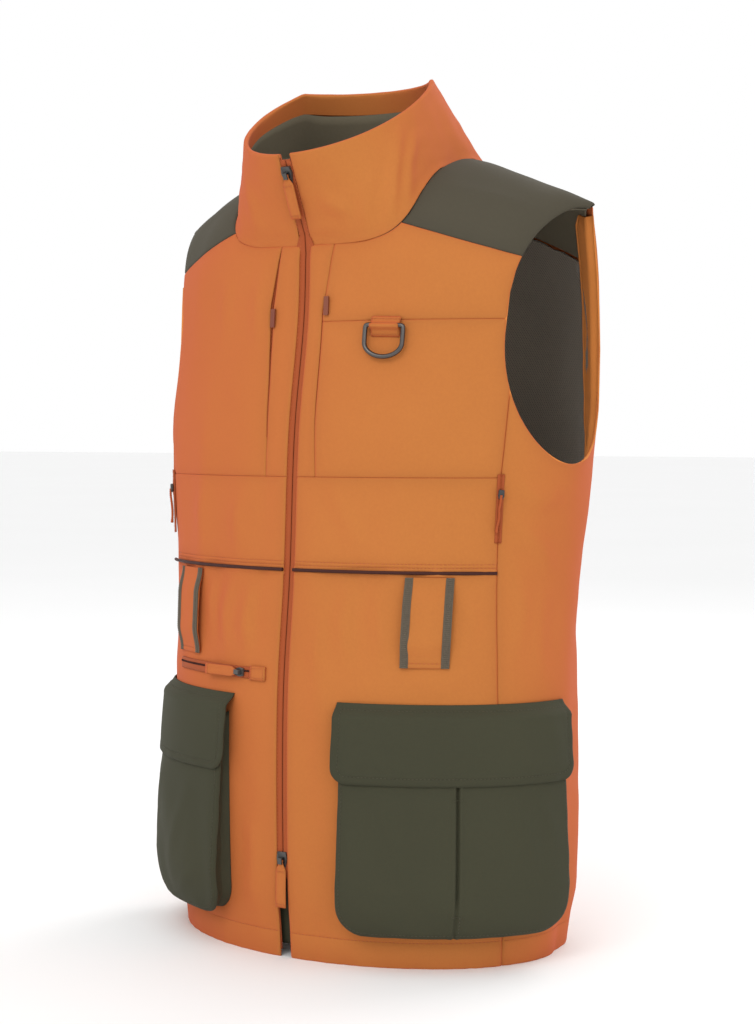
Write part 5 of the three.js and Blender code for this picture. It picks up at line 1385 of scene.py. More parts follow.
def make_armhole_facing(side):
    """The strip turned in round the armhole, open at the shoulder, made bright with painted light."""
    edge = []
    for z in (mix(ARMHOLE_WIDEST_Z, yoke_seam_z(SHOULDER_TIP), 0.95), 565.0):
        edge.append((float(armhole_angle(z)), float(z)))
    for a in np.arange(0, 180.1, 5):
        t = ARMHOLE_MIDDLE - ARMHOLE_HALF * cos_deg(a)
        edge.append((t, ARMHOLE_WIDEST_Z - (ARMHOLE_WIDEST_Z - ARMHOLE_BOTTOM_Z) * sin_deg(a)))
    for share in (0.25, 0.5, 0.75, 0.92):
        z = mix(ARMHOLE_WIDEST_Z, TIP_Z, share)
        edge.append((float(armhole_angle(z, True)), float(z)))
    edge = np.array(edge)
    scale = np.array([ARC_PER_DEGREE, 1.0])
    ahead = np.gradient(edge * scale, axis=0)
    outward = unit(np.stack([ahead[:, 1], -ahead[:, 0]], axis=1))
    away = edge * scale - np.array([ARMHOLE_MIDDLE * ARC_PER_DEGREE, ARMHOLE_WIDEST_Z + 30])
    outward *= np.sign(np.sum(outward * away, axis=1))[:, None]
    rows, depths = [], []
    for w in shares(FACING_WIDTH, 3.0, EDGE, grooved(3.0)) * FACING_WIDTH:
        depths.append(1.75 + 5.6 * float(smooth(w, 1.0, 12.0)))
        t = edge[:, 0] + outward[:, 0] * w / ARC_PER_DEGREE
        z = edge[:, 1] + outward[:, 1] * w
        z = np.minimum(z, ridge_z(half_width(z) * sin_deg(t)) - 12)
        rows.append(wall(t, z))
    base = Sheet(np.array(rows))
    points = base.p + inward_normals(base) * np.array(depths)[:, None, None]
    sheet = Sheet(points)
    relief = edge_relief(sheet.high, (3.0,)) * -1 + 0.45 * swell(points, 65, 20)
    cloth_piece(f"armhole_facing_{side}", sheet, relief, orange_with_painted_light(), FACING_THICK, SIDES[side])


def inward_normals(sheet):
    """A sheet's normals, turned to point at the body's axis."""
    n = sheet.n.copy()
    towards = -sheet.p.copy()
    towards[..., 2] = 0
    n[np.sum(n * towards, axis=-1) < 0] *= -1
    return n


# ---- Zips -------------------------------------------------------------------------------------


ZIP_BODY_TOP = 606.0  # where the front zip goes on to the collar
COLLAR_BASE_FRONT = np.array([0.0, *collar_base(0.0)[1:]])
COLLAR_UP = unit(np.array([0.0, *(collar_top(0.0) - collar_base(0.0))[1:]]))
COLLAR_OUT = np.array([0.0, -COLLAR_UP[2], COLLAR_UP[1]])
COLLAR_LENGTH = float(np.linalg.norm((collar_top(0.0) - collar_base(0.0))[1:]))


def front_line(z_from, clear, step=4.0):
    """Stations of the front zip: point, depth direction and whether it is on the collar."""
    zs = np.arange(z_from, ZIP_BODY_TOP, step)
    body = wall(0.0, zs)
    n = unit(np.cross(np.array([1.0, 0, 0]), np.gradient(body, axis=0)))
    n *= np.where(n[:, 1:2] > 0, -1, 1)
    body_share = np.zeros(len(zs))
    up = np.linspace(9, COLLAR_LENGTH - clear, 20)
    collar = COLLAR_BASE_FRONT + COLLAR_UP * up[:, None]
    points = np.concatenate([body, collar])
    out = np.concatenate([n, np.repeat(COLLAR_OUT[None], len(up), axis=0)])
    on_collar = np.concatenate([body_share, np.ones(len(up))])
    return points, out, on_collar


def zip_band(
    name, x0, x1, depth, collar_depth, z_from, clear, material, thickness, sides=4, side=1,
    relief=None, x1_collar=None
):
    points, out, on_collar = front_line(z_from, clear)
    u = np.linspace(0, 1, sides)
    last = mix(x1, x1 if x1_collar is None else x1_collar, on_collar)
    first = value_at(x0, points[:, 2])
    x = first[:, None] + (last - first)[:, None] * u
    deep = mix(depth, collar_depth, on_collar)
    grid = np.zeros((len(points), sides, 3))
    for j in range(sides):
        level = np.stack([x[:, j], points[:, 1], points[:, 2]], axis=-1)
        z = clamp(points[:, 2], 0, ZIP_BODY_TOP)
        curve = wall(angle_of_x(np.abs(x[:, j]), z), z)
        level[:, 1] = np.where(on_collar > 0.5, points[:, 1], curve[:, 1])
        grid[:, j] = level - out * deep[:, None]
    sheet = Sheet(grid)
    amount = 0.0 if relief is None else relief(sheet)
    held = "hung" if name == "zip_guard" else None
    cloth_piece(name, sheet, amount, material, thickness, side, held=held)
    return sheet


def make_front_zip():
    tape_relief = lambda s: 0.35 * np.exp(
        -(((s.left - 2.2) / 1.2) ** 2)
    ) - 0.5 * np.exp(-((s.left / 0.7) ** 2))
    rows = []
    for side, sign in SIDES.items():
        sheet = zip_band(
            f"zip_tape_{side}", lambda z: mix(5.2, 0.35, smooth(z, 62, 80)), 11.5, -TAPE_OUTER, 0.6, 6.0,
            3.0, zip_cloth(), TAPE_THICK,
            sides=16, side=sign, relief=tape_relief, x1_collar=5.3,
        )
        rows.append((sign, [line_beside(sheet, "left", 4.6, 0.1)]))
    zip_band("zip_guard", -17.0, 17.0, 8.7, 9.5, 9.0, 5.0, olive(), LINING, sides=9)
    points, out, on_collar = front_line(80.0, 4.5, 2.0)
    line = points - out * mix(4.4, 2.7, on_collar)[:, None]
    bead_row("zip_coil_teeth", line, (0.0042, 0.0017, 0.0008), 0.0013, zip_cloth(), stands_for="zip_coil")
    for sign, lines in rows:
        sew(
            f"zip_tape_stitches_{'left' if sign > 0 else 'right'}", lines, orange_thread(), sign,
        )


def local_frame(origin, up, out):
    """Turns (across, up, out) in millimetres into torso points, at an origin."""
    up, out = unit(np.asarray(up, float)), unit(np.asarray(out, float))
    out = unit(out - up * (out @ up))
    axes = np.stack([np.cross(up, out), up, out])
    return lambda p: np.asarray(origin) + np.asarray(p, float) @ axes


def wall_frame(arc, z, offset, up_turn=0.0):
    """A local frame on the vest at a place, its up axis turned in the surface by up_turn degrees."""
    t = angle_of_arc(abs(arc), z) if arc else 0.0
    here = wall(t, z)
    up = unit(wall(t, z + 1.0) - wall(t, z - 1.0))
    around = unit(wall(t + 0.5, z) - wall(t - 0.5, z))
    out = unit(np.cross(around, up))
    if up_turn:
        a = math.radians(up_turn)
        up = up * math.cos(a) + around * math.sin(a)
    return local_frame(here + out * offset, up, out)


def webbing_pull(name, place, length, width, body, material, neck=3.6, eye=1.3, lean=1.0, side=1):
    """A doubled strip of narrow webbing looped through a slider's eye and sewn below it."""
    y = np.concatenate([np.linspace(-length, -4.5, 14), [-3.0, -1.6]])
    front = np.stack([y, np.full(len(y), eye * 0.55)], axis=1)
    turn = np.stack([eye * sin_deg(np.linspace(20, 160, 6)), eye * cos_deg(np.linspace(20, 160, 6))], axis=1)
    back = front[::-1] * np.array([1, -1])
    path = np.concatenate([front, turn, back])
    squeeze = smooth(-path[:, 0], 1.0, 9.0)
    half = mix(neck / 2, width / 2, squeeze)
    across = np.linspace(-1, 1, 9)
    grid = np.zeros((len(path), len(across), 3))
    grid[..., 0] = half[:, None] * across
    grid[..., 1] = path[:, 0][:, None]
    grid[..., 2] = (path[:, 1] + lean * smooth(-path[:, 0], 0, length * 0.8))[:, None]
    sheet = Sheet(place(grid))
    sheet.uv = np.stack([grid[..., 0], sheet.low], axis=-1) / 1000
    relief = -0.35 * np.exp(-((sheet.sides() / 0.6) ** 2))
    relief += 0.12 * np.sin(grid[..., 0] * 2 * math.pi / 1.6)
    cloth_piece(
        name, sheet, relief, material, 0.55, side, seam_reach=5.0, held=None, stands_for=body, body=body
    )
    x, above = np.linspace(-0.42, 0.42, 6) * width, eye * 0.55 + lean + 0.2
    across_line = lambda h: place(np.stack([x, np.full(6, float(h)), np.full(6, above)], axis=1))
    sew(f"{name}_tack", [across_line(-length + 3.0), across_line(-9.0)], orange_thread(), side, body=body,
        pitch=0.0011, length=0.0009)


def make_hardware():
    """The metal pieces keep their frame's shape, with broken edges and a real finish."""
    for name, material in (
        ("top_slider", black_enamel()), ("bottom_slider", black_enamel()), ("map_slider", black_enamel()),
        ("chest_slider_left", dark_pull()), ("chest_slider_right", dark_pull()),
    ):
        piece = frame["nodes"][name]
        piece.data.materials.clear()
        piece.data.materials.append(material)
        bevel = piece.modifiers.new("Edges", "BEVEL")
        bevel.width = 0.00035
        bevel.segments = 3
        bevel.limit_method = "ANGLE"
        bevel.angle_limit = math.radians(35)
        piece.data.shade_smooth()


def dark_pull():
    return metal_material("Moulded pull", (0.13, 0.022, 0.010), (0.2, 0.05, 0.02), 0.6, 0.0)


def make_side_pull(side):
    """The side zip's small slider with its short cord pull."""
    sign, body = SIDES[side], f"side_slider_{side}"
    z = WAIST_Z + 60.0
    t = float(side_seam(z))
    here = wall(t, z)
    up, around = unit(wall(t, z + 1.0) - wall(t, z - 1.0)), unit(wall(t + 0.5, z) - wall(t - 0.5, z))
    place = local_frame(here, up, np.cross(around, up))
    ys = np.linspace(5.0, -26.5, 40)
    bend = 0.5 * np.sin(ys * 0.33) * smooth(-ys, 0, 8)
    cord = place(np.stack([bend, ys, 3.9 + 0.5 * np.cos(ys * 0.21)], axis=1))
    out = place(np.array([[0, 0, 1.0]])) - place(np.array([[0, 0, 0.0]]))
    radius = 1.05 + 0.18 * np.sin(ys * 3.4) + 0.25 * smooth(-ys, 22, 26)
    tube_piece(f"side_pull_cord_{side}", cord, np.repeat(out, 40, axis=0), radius, zip_cloth(),
        body, sign,
               stands_for=body)
    rows = [(-1.5, 1.0), (1.5, 1.0), (2.3, 2.6), (2.0, 5.5), (-2.0, 5.5), (-2.3, 2.6)]
    plate = [(x * 1.15, (y - 3.2) * 1.7 + 5.4, o) for o in (2.0, 4.3) for x, y in rows]
    faces = [list(range(5, -1, -1)), list(range(6, 12))] + [
        [k, (k + 1) % 6, (k + 1) % 6 + 6, k + 6] for k in range(6)
    ]
    piece = make_mesh(f"side_slider_plate_{side}", place(np.array(plate)), faces, None, black_enamel(), sign)
    bevel = piece.modifiers.new("Edges", "BEVEL")
    bevel.width = 0.0004
    bevel.segments = 3
    outward_faces(piece)
    finish_piece(piece, (), body)


def make_pulls():
    z = BOTTOM_SLIDER_Z
    here = wall(0.0, z)
    up = unit(wall(0.0, z + 1.0) - wall(0.0, z - 1.0))
    out = unit(np.cross(np.array([1.0, 0, 0]), up))
    bottom = local_frame(here + out * SLIDER_EYE, up, out)
    webbing_pull("bottom_pull_webbing", bottom, 40.0, 10.5, "bottom_pull", orange())
    origin = COLLAR_BASE_FRONT + COLLAR_UP * TOP_SLIDER_AT + COLLAR_OUT * (SLIDER_EYE + 2.3)
    webbing_pull(
        "top_pull_webbing", local_frame(origin, COLLAR_UP, COLLAR_OUT), 38.0, 10.5, "top_pull", orange()
    )
    place = wall_frame(MAP_SLIDER_ARC, MAP_Z, 5.1, 270.0)
    webbing_pull("map_pull_webbing", place, 42.0, 9.0, "map_pull", orange(), side=-1, lean=-1.2)


BOTTOM_SLIDER_Z = 84.0
TOP_SLIDER_AT = 63.24
SLIDER_EYE = 1.1
MAP_Z = 242.0
MAP_SLIDER_ARC = 47.0


def arc_grid(arcs, heights):
    """Points on the vest at distances round from the centre front, and heights."""
    t = np.array([angle_of_arc(np.asarray(arcs), z) for z in heights])
    return wall(t, np.asarray(heights, float)[:, None])


TEETH_PITCH = 0.0012  # metres, as a bead row takes it
SMALL_TOOTH = (0.0022, 0.0012, 0.0007)


def make_chest_zip(side):
    x0 = {"left": 25.0, "right": 31.0}[side]
    zs = np.linspace(443, 597, 40)
    xs = x0 + np.linspace(-7, 7, 13)
    x, z = np.meshgrid(xs, zs)
    sheet = Sheet(Sheet(wall(angle_of_x(x, z), z)).at(-2.3))
    tooth = 0.5 * np.exp(-(((sheet.left - 7) / 1.3) ** 2))
    cloth_piece(f"chest_zip_{side}", sheet, tooth, zip_cloth(), 0.6, SIDES[side], held=None)
    line = []
    for z in np.linspace(445, 595, 60):
        x = np.interp(z, *CHEST_SLIT[side])
        line.append(np.stack([x, *wall(angle_of_x(x, z), z)[1:]]))
    line = np.array(line) + np.array([0, 1.5, 0])
    size = (0.0026, 0.0012, 0.0007)
    bead_row(f"chest_zip_teeth_{side}", line, size, TEETH_PITCH, zip_cloth(), side=SIDES[side])


def make_side_zip(side):
    zs = np.linspace(357, 414, 24)
    rows = []
    for z in zs:
        t = side_seam(z) + np.linspace(-1.1, 1.1, 9)
        rows.append(wall(t, z))
    sheet = Sheet(Sheet(np.array(rows)).at(1.6))
    relief = -0.5 * np.exp(
        -(((sheet.left - sheet.left[:, -1:] / 2) / 1.0) ** 2)
    ) + edge_relief(sheet.sides(), (), 0.5)
    cloth_piece(f"side_zip_{side}", sheet, relief, zip_cloth(), 1.0, SIDES[side], held=None)
    line = wall(side_seam(zs), zs) + unit(Sheet(np.array(rows)).n[:, 4]) * 1.5
    bead_row(f"side_zip_teeth_{side}", line, SMALL_TOOTH, TEETH_PITCH, zip_cloth(), side=SIDES[side])


def make_map_zip():
    arcs = np.linspace(36, 148, 50)
    zs = MAP_Z + np.linspace(-5, 5, 11)
    sheet = Sheet(Sheet(arc_grid(arcs, zs)).at(1.6))
    lip = edge_relief(np.minimum(sheet.low, sheet.high), (), 0.5)
    relief = lip - 0.4 * np.exp(-(((sheet.low - 6.3) / 0.8) ** 2)) + 0.15 * swell(sheet.p, 71, 18)
    cloth_piece("map_zip", sheet, relief, zip_cloth(), 1.0, -1, held=None)
    line = Sheet(arc_grid(arcs, np.array([MAP_Z - 1, MAP_Z + 1.3, MAP_Z + 2])))
    line = line.at(1.6)[1]
    bead_row("map_zip_teeth", line, SMALL_TOOTH, TEETH_PITCH, piping_cloth(), side=-1, across=(0, 0, 1))
    tab = Sheet(Sheet(arc_grid(np.linspace(18, 35.6, 9), np.linspace(236, 248, 8))).at(2.0))
    edge = tab.rim()
    relief = edge_relief(edge, (2.0,), 0.5)
    cloth_piece("map_zip_end_tab", tab, relief, orange(), 1.4, -1, held=None)
    rows = [line_beside(tab, edge, 2.0, 0.15) for edge in ("left", "right", "low", "high")]
    sew("map_tab_stitches", rows, orange_thread(), -1, pitch=0.0024, length=0.0017)


# ---- Piping, loops and ring -------------------------------------------------------------------


def tube_points(line, normals, radius, sides=12):
    line = np.asarray(line, float)
    tangent = unit(np.gradient(line, axis=0))
    normals = unit(normals - tangent * np.sum(normals * tangent, axis=1, keepdims=True))
    third = np.cross(tangent, normals)
    a = np.linspace(0, 2 * math.pi, sides, endpoint=False)
    ring = np.cos(a)[None, :, None] * normals[:, None] + np.sin(a)[None, :, None] * third[:, None]
    return line[:, None] + ring * np.broadcast_to(radius, len(line))[:, None, None]


def tube_faces(rings, sides, closed=False):
    index = np.arange(rings * sides).reshape(rings, sides)
    faces = []
    last = rings if closed else rings - 1
    for k in range(last):
        a, b = index[k], index[(k + 1) % rings]
        faces += np.stack([a, np.roll(a, -1), np.roll(b, -1), b], axis=1).tolist()
    if not closed:
        faces += [index[0][::-1].tolist(), index[-1].tolist()]
    return faces


def tube_piece(
    name, line, normals, radius, material, body=VEST, side=1, closed=False, stands_for=(), sides=12
):
    points = tube_points(line, normals, radius, sides)
    lengths = np.concatenate([[0], np.cumsum(np.linalg.norm(np.diff(line, axis=0), axis=1))])
    around = np.linspace(0, 2 * math.pi * np.max(radius), sides, endpoint=False)
    uv = np.stack(np.broadcast_arrays(lengths[:, None], around[None, :]), axis=-1) / 1000
    seam = np.zeros(points.shape[:2])
    piece = make_mesh(name, points, tube_faces(len(line), sides, closed), uv, material, side, {"seam": seam})
    outward_faces(piece)
    finish_piece(piece, stands_for, body)
    return piece


def make_piping(side):
    start, end = float(zip_edge(WAIST_Z)), float(side_seam(WAIST_Z))
    t = np.linspace(start, end, 160)
    base = wall(t, WAIST_Z)
    behind = (base[:, 1] - set_back(WAIST_Z)) / half_depth(WAIST_Z) ** 2
    n = unit(np.stack([base[:, 0] / half_width(WAIST_Z) ** 2, behind, 0 * t], axis=1))
    wave = 0.25 * swell(base * np.array([SIDES[side], 1, 1]), 72, 28)
    line = base + n * (1.2 + wave)[:, None]
    tube_piece(
        f"waist_piping_cord_{side}", line, n, 1.45, piping_cloth(), side=SIDES[side],
        stands_for=f"waist_piping_{side}",
    )


LOOP_LOW, LOOP_HIGH, LOOP_ARC, LOOP_WIDE = 253.2, 328.2, 109.0, 40.0


def make_gear_loop(side):
    """The stand-off webbing panel with its two ribbed tapes."""
    sign = SIDES[side]
    us, vs = shares(40, 2.5, EDGE, EDGE), shares(75, 2.5, grooved(4.0), EDGE)
    z = LOOP_LOW + vs * (LOOP_HIGH - LOOP_LOW)
    middle_z = (LOOP_LOW + LOOP_HIGH) / 2
    t = angle_of_arc(LOOP_ARC + us * LOOP_WIDE, middle_z)
    base = Sheet(wall(t[None, :], z[:, None]))
    s = vs
    stand = 0.6 + 3.8 * smooth(np.minimum(s, 1 - s), 0.02, 0.3)
    sheet = Sheet(base.at((stand + CLOTH)[:, None]), (300, 0))
    relief = edge_relief(sheet.low, (4.0,), 0.5) + edge_relief(sheet.sides(), (), 0.4)
    relief += 0.45 * swell(sheet.p * np.array([sign, 1, 1]), 73, 30)
    cloth_piece(f"gear_loop_{side}", sheet, relief, orange(), CLOTH, sign)
    sew(
        f"gear_loop_stitches_{side}", [line_beside(sheet, "low", 4.0, relief + 0.15, 0.16, 0.84)],
        orange_thread(), sign
    )
    for which, start in (("inner", 0.0), ("outer", LOOP_WIDE - 6.0)):
        t = angle_of_arc(LOOP_ARC + start + np.array([-0.4, 0.6, 2.0, 3.2, 4.4, 5.8, 6.6]), middle_z)
        tape = Sheet(Sheet(wall(t[None, :], z[:, None])).at((stand + CLOTH + 0.8)[:, None]), (0, 0))
        edge = edge_relief(tape.sides(), (), 0.5)
        name = f"gear_loop_{which}_tape_{side}"
        cloth_piece(name, tape, edge, ribbed_cloth(), 1.0, sign, held=None)
        across = unit(tape.at(0.0)[10, 5] - tape.at(0.0)[10, 1]) * np.array([sign, 1, 1])
        line, size = tape.at(0.15)[1:-1, 3], (0.0060, 0.0011, 0.0011)
        bead_row(f"{name}_ribs", line, size, 0.0016, ribbed_cloth(), sign, tuple(across))


def make_ring():
    """The chest tab with its D-ring."""
    z = UPPER_CHEST_Z - 4.5
    place = wall_frame(82.0, z, 0.0)
    xs = np.linspace(-13, 13, 15)
    loop = [
        (0.8, -10.0), (2.2, -9.0), (3.2, -6.0), (5.0, -3.8), (7.6, -3.0), (8.7, -1.4), (7.6, 0.3),
        (5.0, 1.6), (3.3, 4.0), (2.9, 6.4), (1.5, 7.4)
    ]
    path = np.array([(y, o) for o, y in loop])
    grid = np.zeros((len(path), len(xs), 3))
    grid[..., 0] = xs[None, :]
    grid[..., 1] = path[:, 0][:, None]
    grid[..., 2] = path[:, 1][:, None]
    sheet = Sheet(place(grid))
    relief = edge_relief(sheet.sides(), (), 0.5)
    cloth_piece("ring_tab", sheet, relief, orange(), 1.0, held=None)
    line = place(np.stack([np.linspace(-12, 12, 10), np.full(10, 5.0), np.full(10, 3.4)], axis=1))
    low = place(np.stack([np.linspace(-12, 12, 10), np.full(10, -8.6), np.full(10, 2.9)], axis=1))
    sew("ring_tab_stitches", [line, low], orange_thread(), pitch=0.0022, length=0.0016)
    eye = wall_frame(82.0, z, 5.2)
    ring = []
    for x, y in ((-17, 0), (-17, -12)):
        ring.append((x, y))
    for a in np.linspace(180, 360, 26)[1:-1]:
        ring.append((17 * math.cos(math.radians(a)), -13 + 12 * math.sin(math.radians(a))))
    ring += [(17, -12), (17, 0)]
    ring += [(16.2, 1.2), (14.5, 1.6)] + [
        (x, 1.6) for x in (10, 5, 0, -5, -10)
    ] + [(-14.5, 1.6), (-16.2, 1.2)]
    line = np.array([(x, y - 1.5 - 0.8, 0.0) for x, y in ring])
    line = smooth_loop(line)
    line = eye(line)
    out = eye(np.array([[0, 0, 1.0]])) - eye(np.array([[0, 0, 0.0]]))
    normals = np.repeat(out, len(line), axis=0)
    tube_piece(
        "d_ring_wire", line, normals, 2.0, gunmetal(), "d_ring", closed=True,
        stands_for="d_ring", sides=16
    )


def smooth_loop(line, rounds=3):
    for _ in range(rounds):
        after = np.roll(line, -1, axis=0)
        line = np.stack([0.75 * line + 0.25 * after, 0.25 * line + 0.75 * after], axis=1).reshape(-1, 3)
    return line


# ---- Cargo pockets ----------------------------------------------------------------------------

POCKET_ARC, POCKET_WIDE = 60.0, 192.0
POCKET_LOW, POCKET_HIGH, POCKET_CORNER = 31.0, 208.0, 24.0
FLAP_LOW, FLAP_HIGH, FLAP_CORNER, FLAP_OVER = 157.0, 223.0, 14.0, 6.0


def pocket_depth(z):
    z = np.asarray(z, float)
    s = (70 - z) / 39
    return np.where(z > 70, mix(19.0, 7.0, (z - 70) / 138), mix(19.0, 14.25, s * s))


def pocket_angle(arc):
    return angle_of_arc(POCKET_ARC + np.asarray(arc), 119.5)


def rounded_inset(z, low, corner):
    k = clamp((corner - (z - low)) / corner)
    return corner - corner * np.sqrt(1 - k * k)


def rounded_rows(low, high, corner, step, start, end):
    """Heights of a panel with rounded lower corners, closer together round the corner."""
    turn = low + corner * (1 - np.cos(np.radians(np.linspace(0, 90, 13))))
    rest = shares(high - turn[-1], step, (), end)[1:] * (high - turn[-1]) + turn[-1]
    lines = [low + d for d in start]
    return np.array(sorted({round(float(z), 3) for z in [*turn, *rest, *lines]}))


def sewn_path(left, right, low, high, corner, inset):
    """(arc, height) down one side, round the lower corners and up the other, inset from the edge."""
    a0, a1, z0, r = left + inset, right - inset, low + inset, corner - inset
    turn = np.radians(np.linspace(0, 90, 10))
    down = [(a0, z) for z in np.linspace(high, z0 + r, 24)]
    down += [(a0 + r - r * math.cos(a), z0 + r - r * math.sin(a)) for a in turn]
    across = [(a, z0) for a in np.linspace(a0 + r, a1 - r, 44)]
    up = [(a1 - (a - a0), z) for a, z in down[::-1]]
    return down + across + up


def rounded_rim(arcs, zs, left, right, low, corner):
    """Distance from a panel's sides and its rounded lower edge."""
    across, up = np.minimum(arcs - left, right - arcs), zs[:, None] - low + 0 * arcs
    turned = corner - np.hypot(corner - across, corner - up)
    return np.where((across < corner) & (up < corner), turned, np.minimum(across, up))


def over_wall(arcs, zs, stand, uv_start):
    """A sheet that stands off the torso, with the torso's own normals."""
    t = pocket_angle(arcs.ravel()).reshape(arcs.shape)
    z = zs[:, None] + 0 * t
    out = wall_normal(t, z)
    sheet = Sheet(wall(t, z) + out * stand[:, None, None], uv_start)
    sheet.n = out
    return sheet


def on_grid(arcs, zs, surface, path):
    """Points of a panel's surface at the (arc, height) places of a path."""
    line = []
    for arc, z in path:
        k = int(clamp(np.searchsorted(zs, z), 1, len(zs) - 1))
        share = clamp((z - zs[k - 1]) / (zs[k] - zs[k - 1]))
        ends = [[np.interp(arc, arcs[j], surface[j, :, c]) for c in range(3)] for j in (k - 1, k)]
        line.append(mix(np.array(ends[0]), np.array(ends[1]), share))
    return np.array(line)


def make_pocket(side):
    sign = SIDES[side]
    zs = rounded_rows(POCKET_LOW, POCKET_HIGH, POCKET_CORNER, 3.0, (0.5, 3.2, 4.5), EDGE)
    us = shares(POCKET_WIDE, 3.0, (*EDGE, 4.0, 5.0), (*EDGE, 4.0, 5.0))
    if side == "left":
        us = np.array(
            sorted({*us, *[0.5 + d / POCKET_WIDE for d in (-3.2, -2.2, -1.2, -0.4, 0.4, 1.2, 2.2, 3.2)]})
        )
    inset = rounded_inset(zs, POCKET_LOW, POCKET_CORNER)[:, None]
    arcs = inset + us[None, :] * (POCKET_WIDE - 2 * inset)
    sheet = over_wall(arcs, zs, pocket_depth(zs) + 0.4 + CLOTH, (0, 0))
    mirrored = sheet.p * np.array([sign, 1, 1])
    corner = rounded_rim(arcs, zs, 0.0, POCKET_WIDE, POCKET_LOW, POCKET_CORNER)
    bulge = 2.6 * np.sin(math.pi * clamp(us))[None, :] ** 0.8 * np.sin(
        math.pi * clamp((zs - 25) / 190)
    )[:, None]
    relief = bulge * 0.55 + edge_relief(corner, (), 1.8) - 1.2 * np.exp(-((corner / 3.2) ** 2))
    relief += 0.8 * swell(mirrored, 81, 62, (1.2, 1.2, 0.8)) * smooth(corner, 2, 14)
    relief += 0.35 * swell(mirrored, 82, 20) * np.exp(-((corner / 16) ** 2))
    for (a0, z0), (a1, z1), width, height in POCKET_FOLDS[side]:
        line = [pocket_point(a0, z0), pocket_point((a0 + a1) / 2 + 3, (z0 + z1) / 2), pocket_point(a1, z1)]
        relief += ridge(sheet.p, line, width, height)
    under_flap = smooth(zs, 138, 154)[:, None]
    relief = mix(relief, np.minimum(relief, 0.5), under_flap)
    if side == "left":
        middle = np.abs(arcs - POCKET_WIDE * 0.5)
        open_slit = smooth(zs, 50, 70)[:, None]
        relief += 1.1 * np.exp(
            -(((middle - 2.6) / 1.3) ** 2)
        ) - (1.0 + 3.0 * open_slit) * np.exp(-((middle / 0.9) ** 2))
    cloth_piece(f"pocket_front_{side}", sheet, relief, olive(), CLOTH, sign, corner)
    path = sewn_path(0.0, POCKET_WIDE, POCKET_LOW, 165.0, POCKET_CORNER, 4.0)
    rows = [on_grid(arcs, zs, sheet.at(relief + 0.12), path)]
    sew(f"pocket_stitches_{side}", rows, olive_thread(), sign)
    if side == "left":
        tacks = []
        for z in (52.0, 146.0):
            path = [(POCKET_WIDE / 2 + a, z) for a in np.linspace(-3.5, 3.5, 8)]
            tacks.append(on_grid(arcs, zs, sheet.at(np.maximum(relief, 0.3) + 0.3), path))
        path = [(POCKET_WIDE / 2 + 2.6, z) for z in np.linspace(36, 51, 8)]
        below = on_grid(arcs, zs, sheet.at(relief + 0.2), path)
        sew("pleat_stitches", [below], olive_thread(), sign)
        sew("pleat_tacks", tacks, olive_thread(), sign, pitch=0.0006, length=0.0005)
    make_gusset(side)


POCKET_FOLDS = {
    "left": [
        ((30, 150), (60, 70), 8, 1.2), ((70, 60), (128, 48), 6, 0.8), ((132, 150), (158, 90), 8, 1.3),
        ((160, 150), (176, 100), 6, 1.0), ((16, 60), (44, 40), 6, 1.0), ((104, 120), (118, 70), 7, 0.8),
    ],
    "right": [
        ((150, 152), (172, 96), 7, 1.6), ((166, 150), (183, 60), 6, 1.6), ((40, 140), (70, 70), 9, 1.2),
        ((100, 150), (120, 80), 8, 1.3), ((20, 70), (60, 44), 6, 0.9), ((132, 130), (150, 50), 7, 1.2),
    ],
}


def pocket_point(arc, z, above=0.0):
    """A point on the pocket's front, or that far above it."""
    t = float(pocket_angle(arc))
    return wall(t, z) + wall_normal(t, z) * (float(pocket_depth(z)) + 0.4 + CLOTH + above)


def pocket_outline(inset):
    """(arc, height) round the pocket's sides and bottom, inset from its edge."""
    r = POCKET_CORNER
    left = [(0.0, z) for z in np.linspace(POCKET_HIGH, POCKET_LOW + r, 26)]
    turn = [
        (r - r * math.cos(a), POCKET_LOW + r - r * math.sin(a)) for a in np.radians(np.linspace(6, 84, 9))
    ]
    bottom = [(a, POCKET_LOW) for a in np.linspace(r, POCKET_WIDE - r, 28)]
    half = left + turn + bottom
    flip = [(POCKET_WIDE - a, z) for a, z in (left + turn)[::-1]]
    line = np.array(half + flip)
    centre = np.array([POCKET_WIDE / 2, 120.0])
    span = np.array([POCKET_WIDE / 2, 90.0])
    return line - np.sign(line - centre) * np.minimum(1.0, np.abs((line - centre) / span)) * inset


def make_gusset(side):
    """The bellows round the pocket, folded inwards along its middle."""
    sign = SIDES[side]
    line = pocket_outline(0.9)
    t = pocket_angle(line[:, 0])
    base = wall(t, line[:, 1])
    out = wall_normal(t, line[:, 1])
    centre = wall(float(pocket_angle(POCKET_WIDE / 2)), 120.0)
    inward = unit((centre - base) - out * np.sum((centre - base) * out, axis=1, keepdims=True))
    deep = pocket_depth(line[:, 1]) - 1.6
    shares_out = np.array([0.0, 0.06, 0.2, 0.35, 0.46, 0.5, 0.54, 0.65, 0.8, 0.94, 1.0])
    fold = 3.4 * (1 - np.abs(shares_out - 0.5) * 2) ** 0.8
    rows = []
    for share, f in zip(shares_out, fold):
        wave = 0.8 * swell(base * np.array([sign, 1, 1]), 83, 22) * math.sin(math.pi * share)
        rows.append(base + out * (0.5 + (deep - 0.5) * share)[:, None] + inward * (f + wave)[:, None])
    sheet = Sheet(np.array(rows))
    middle = sheet.p.reshape(-1, 3).mean(axis=0)
    if np.sum(sheet.n * (sheet.p - middle)) < 0:
        sheet.n = -sheet.n
    cloth_piece(f"pocket_gusset_{side}", sheet, 0.0, olive(), 1.2, sign, held="folded")


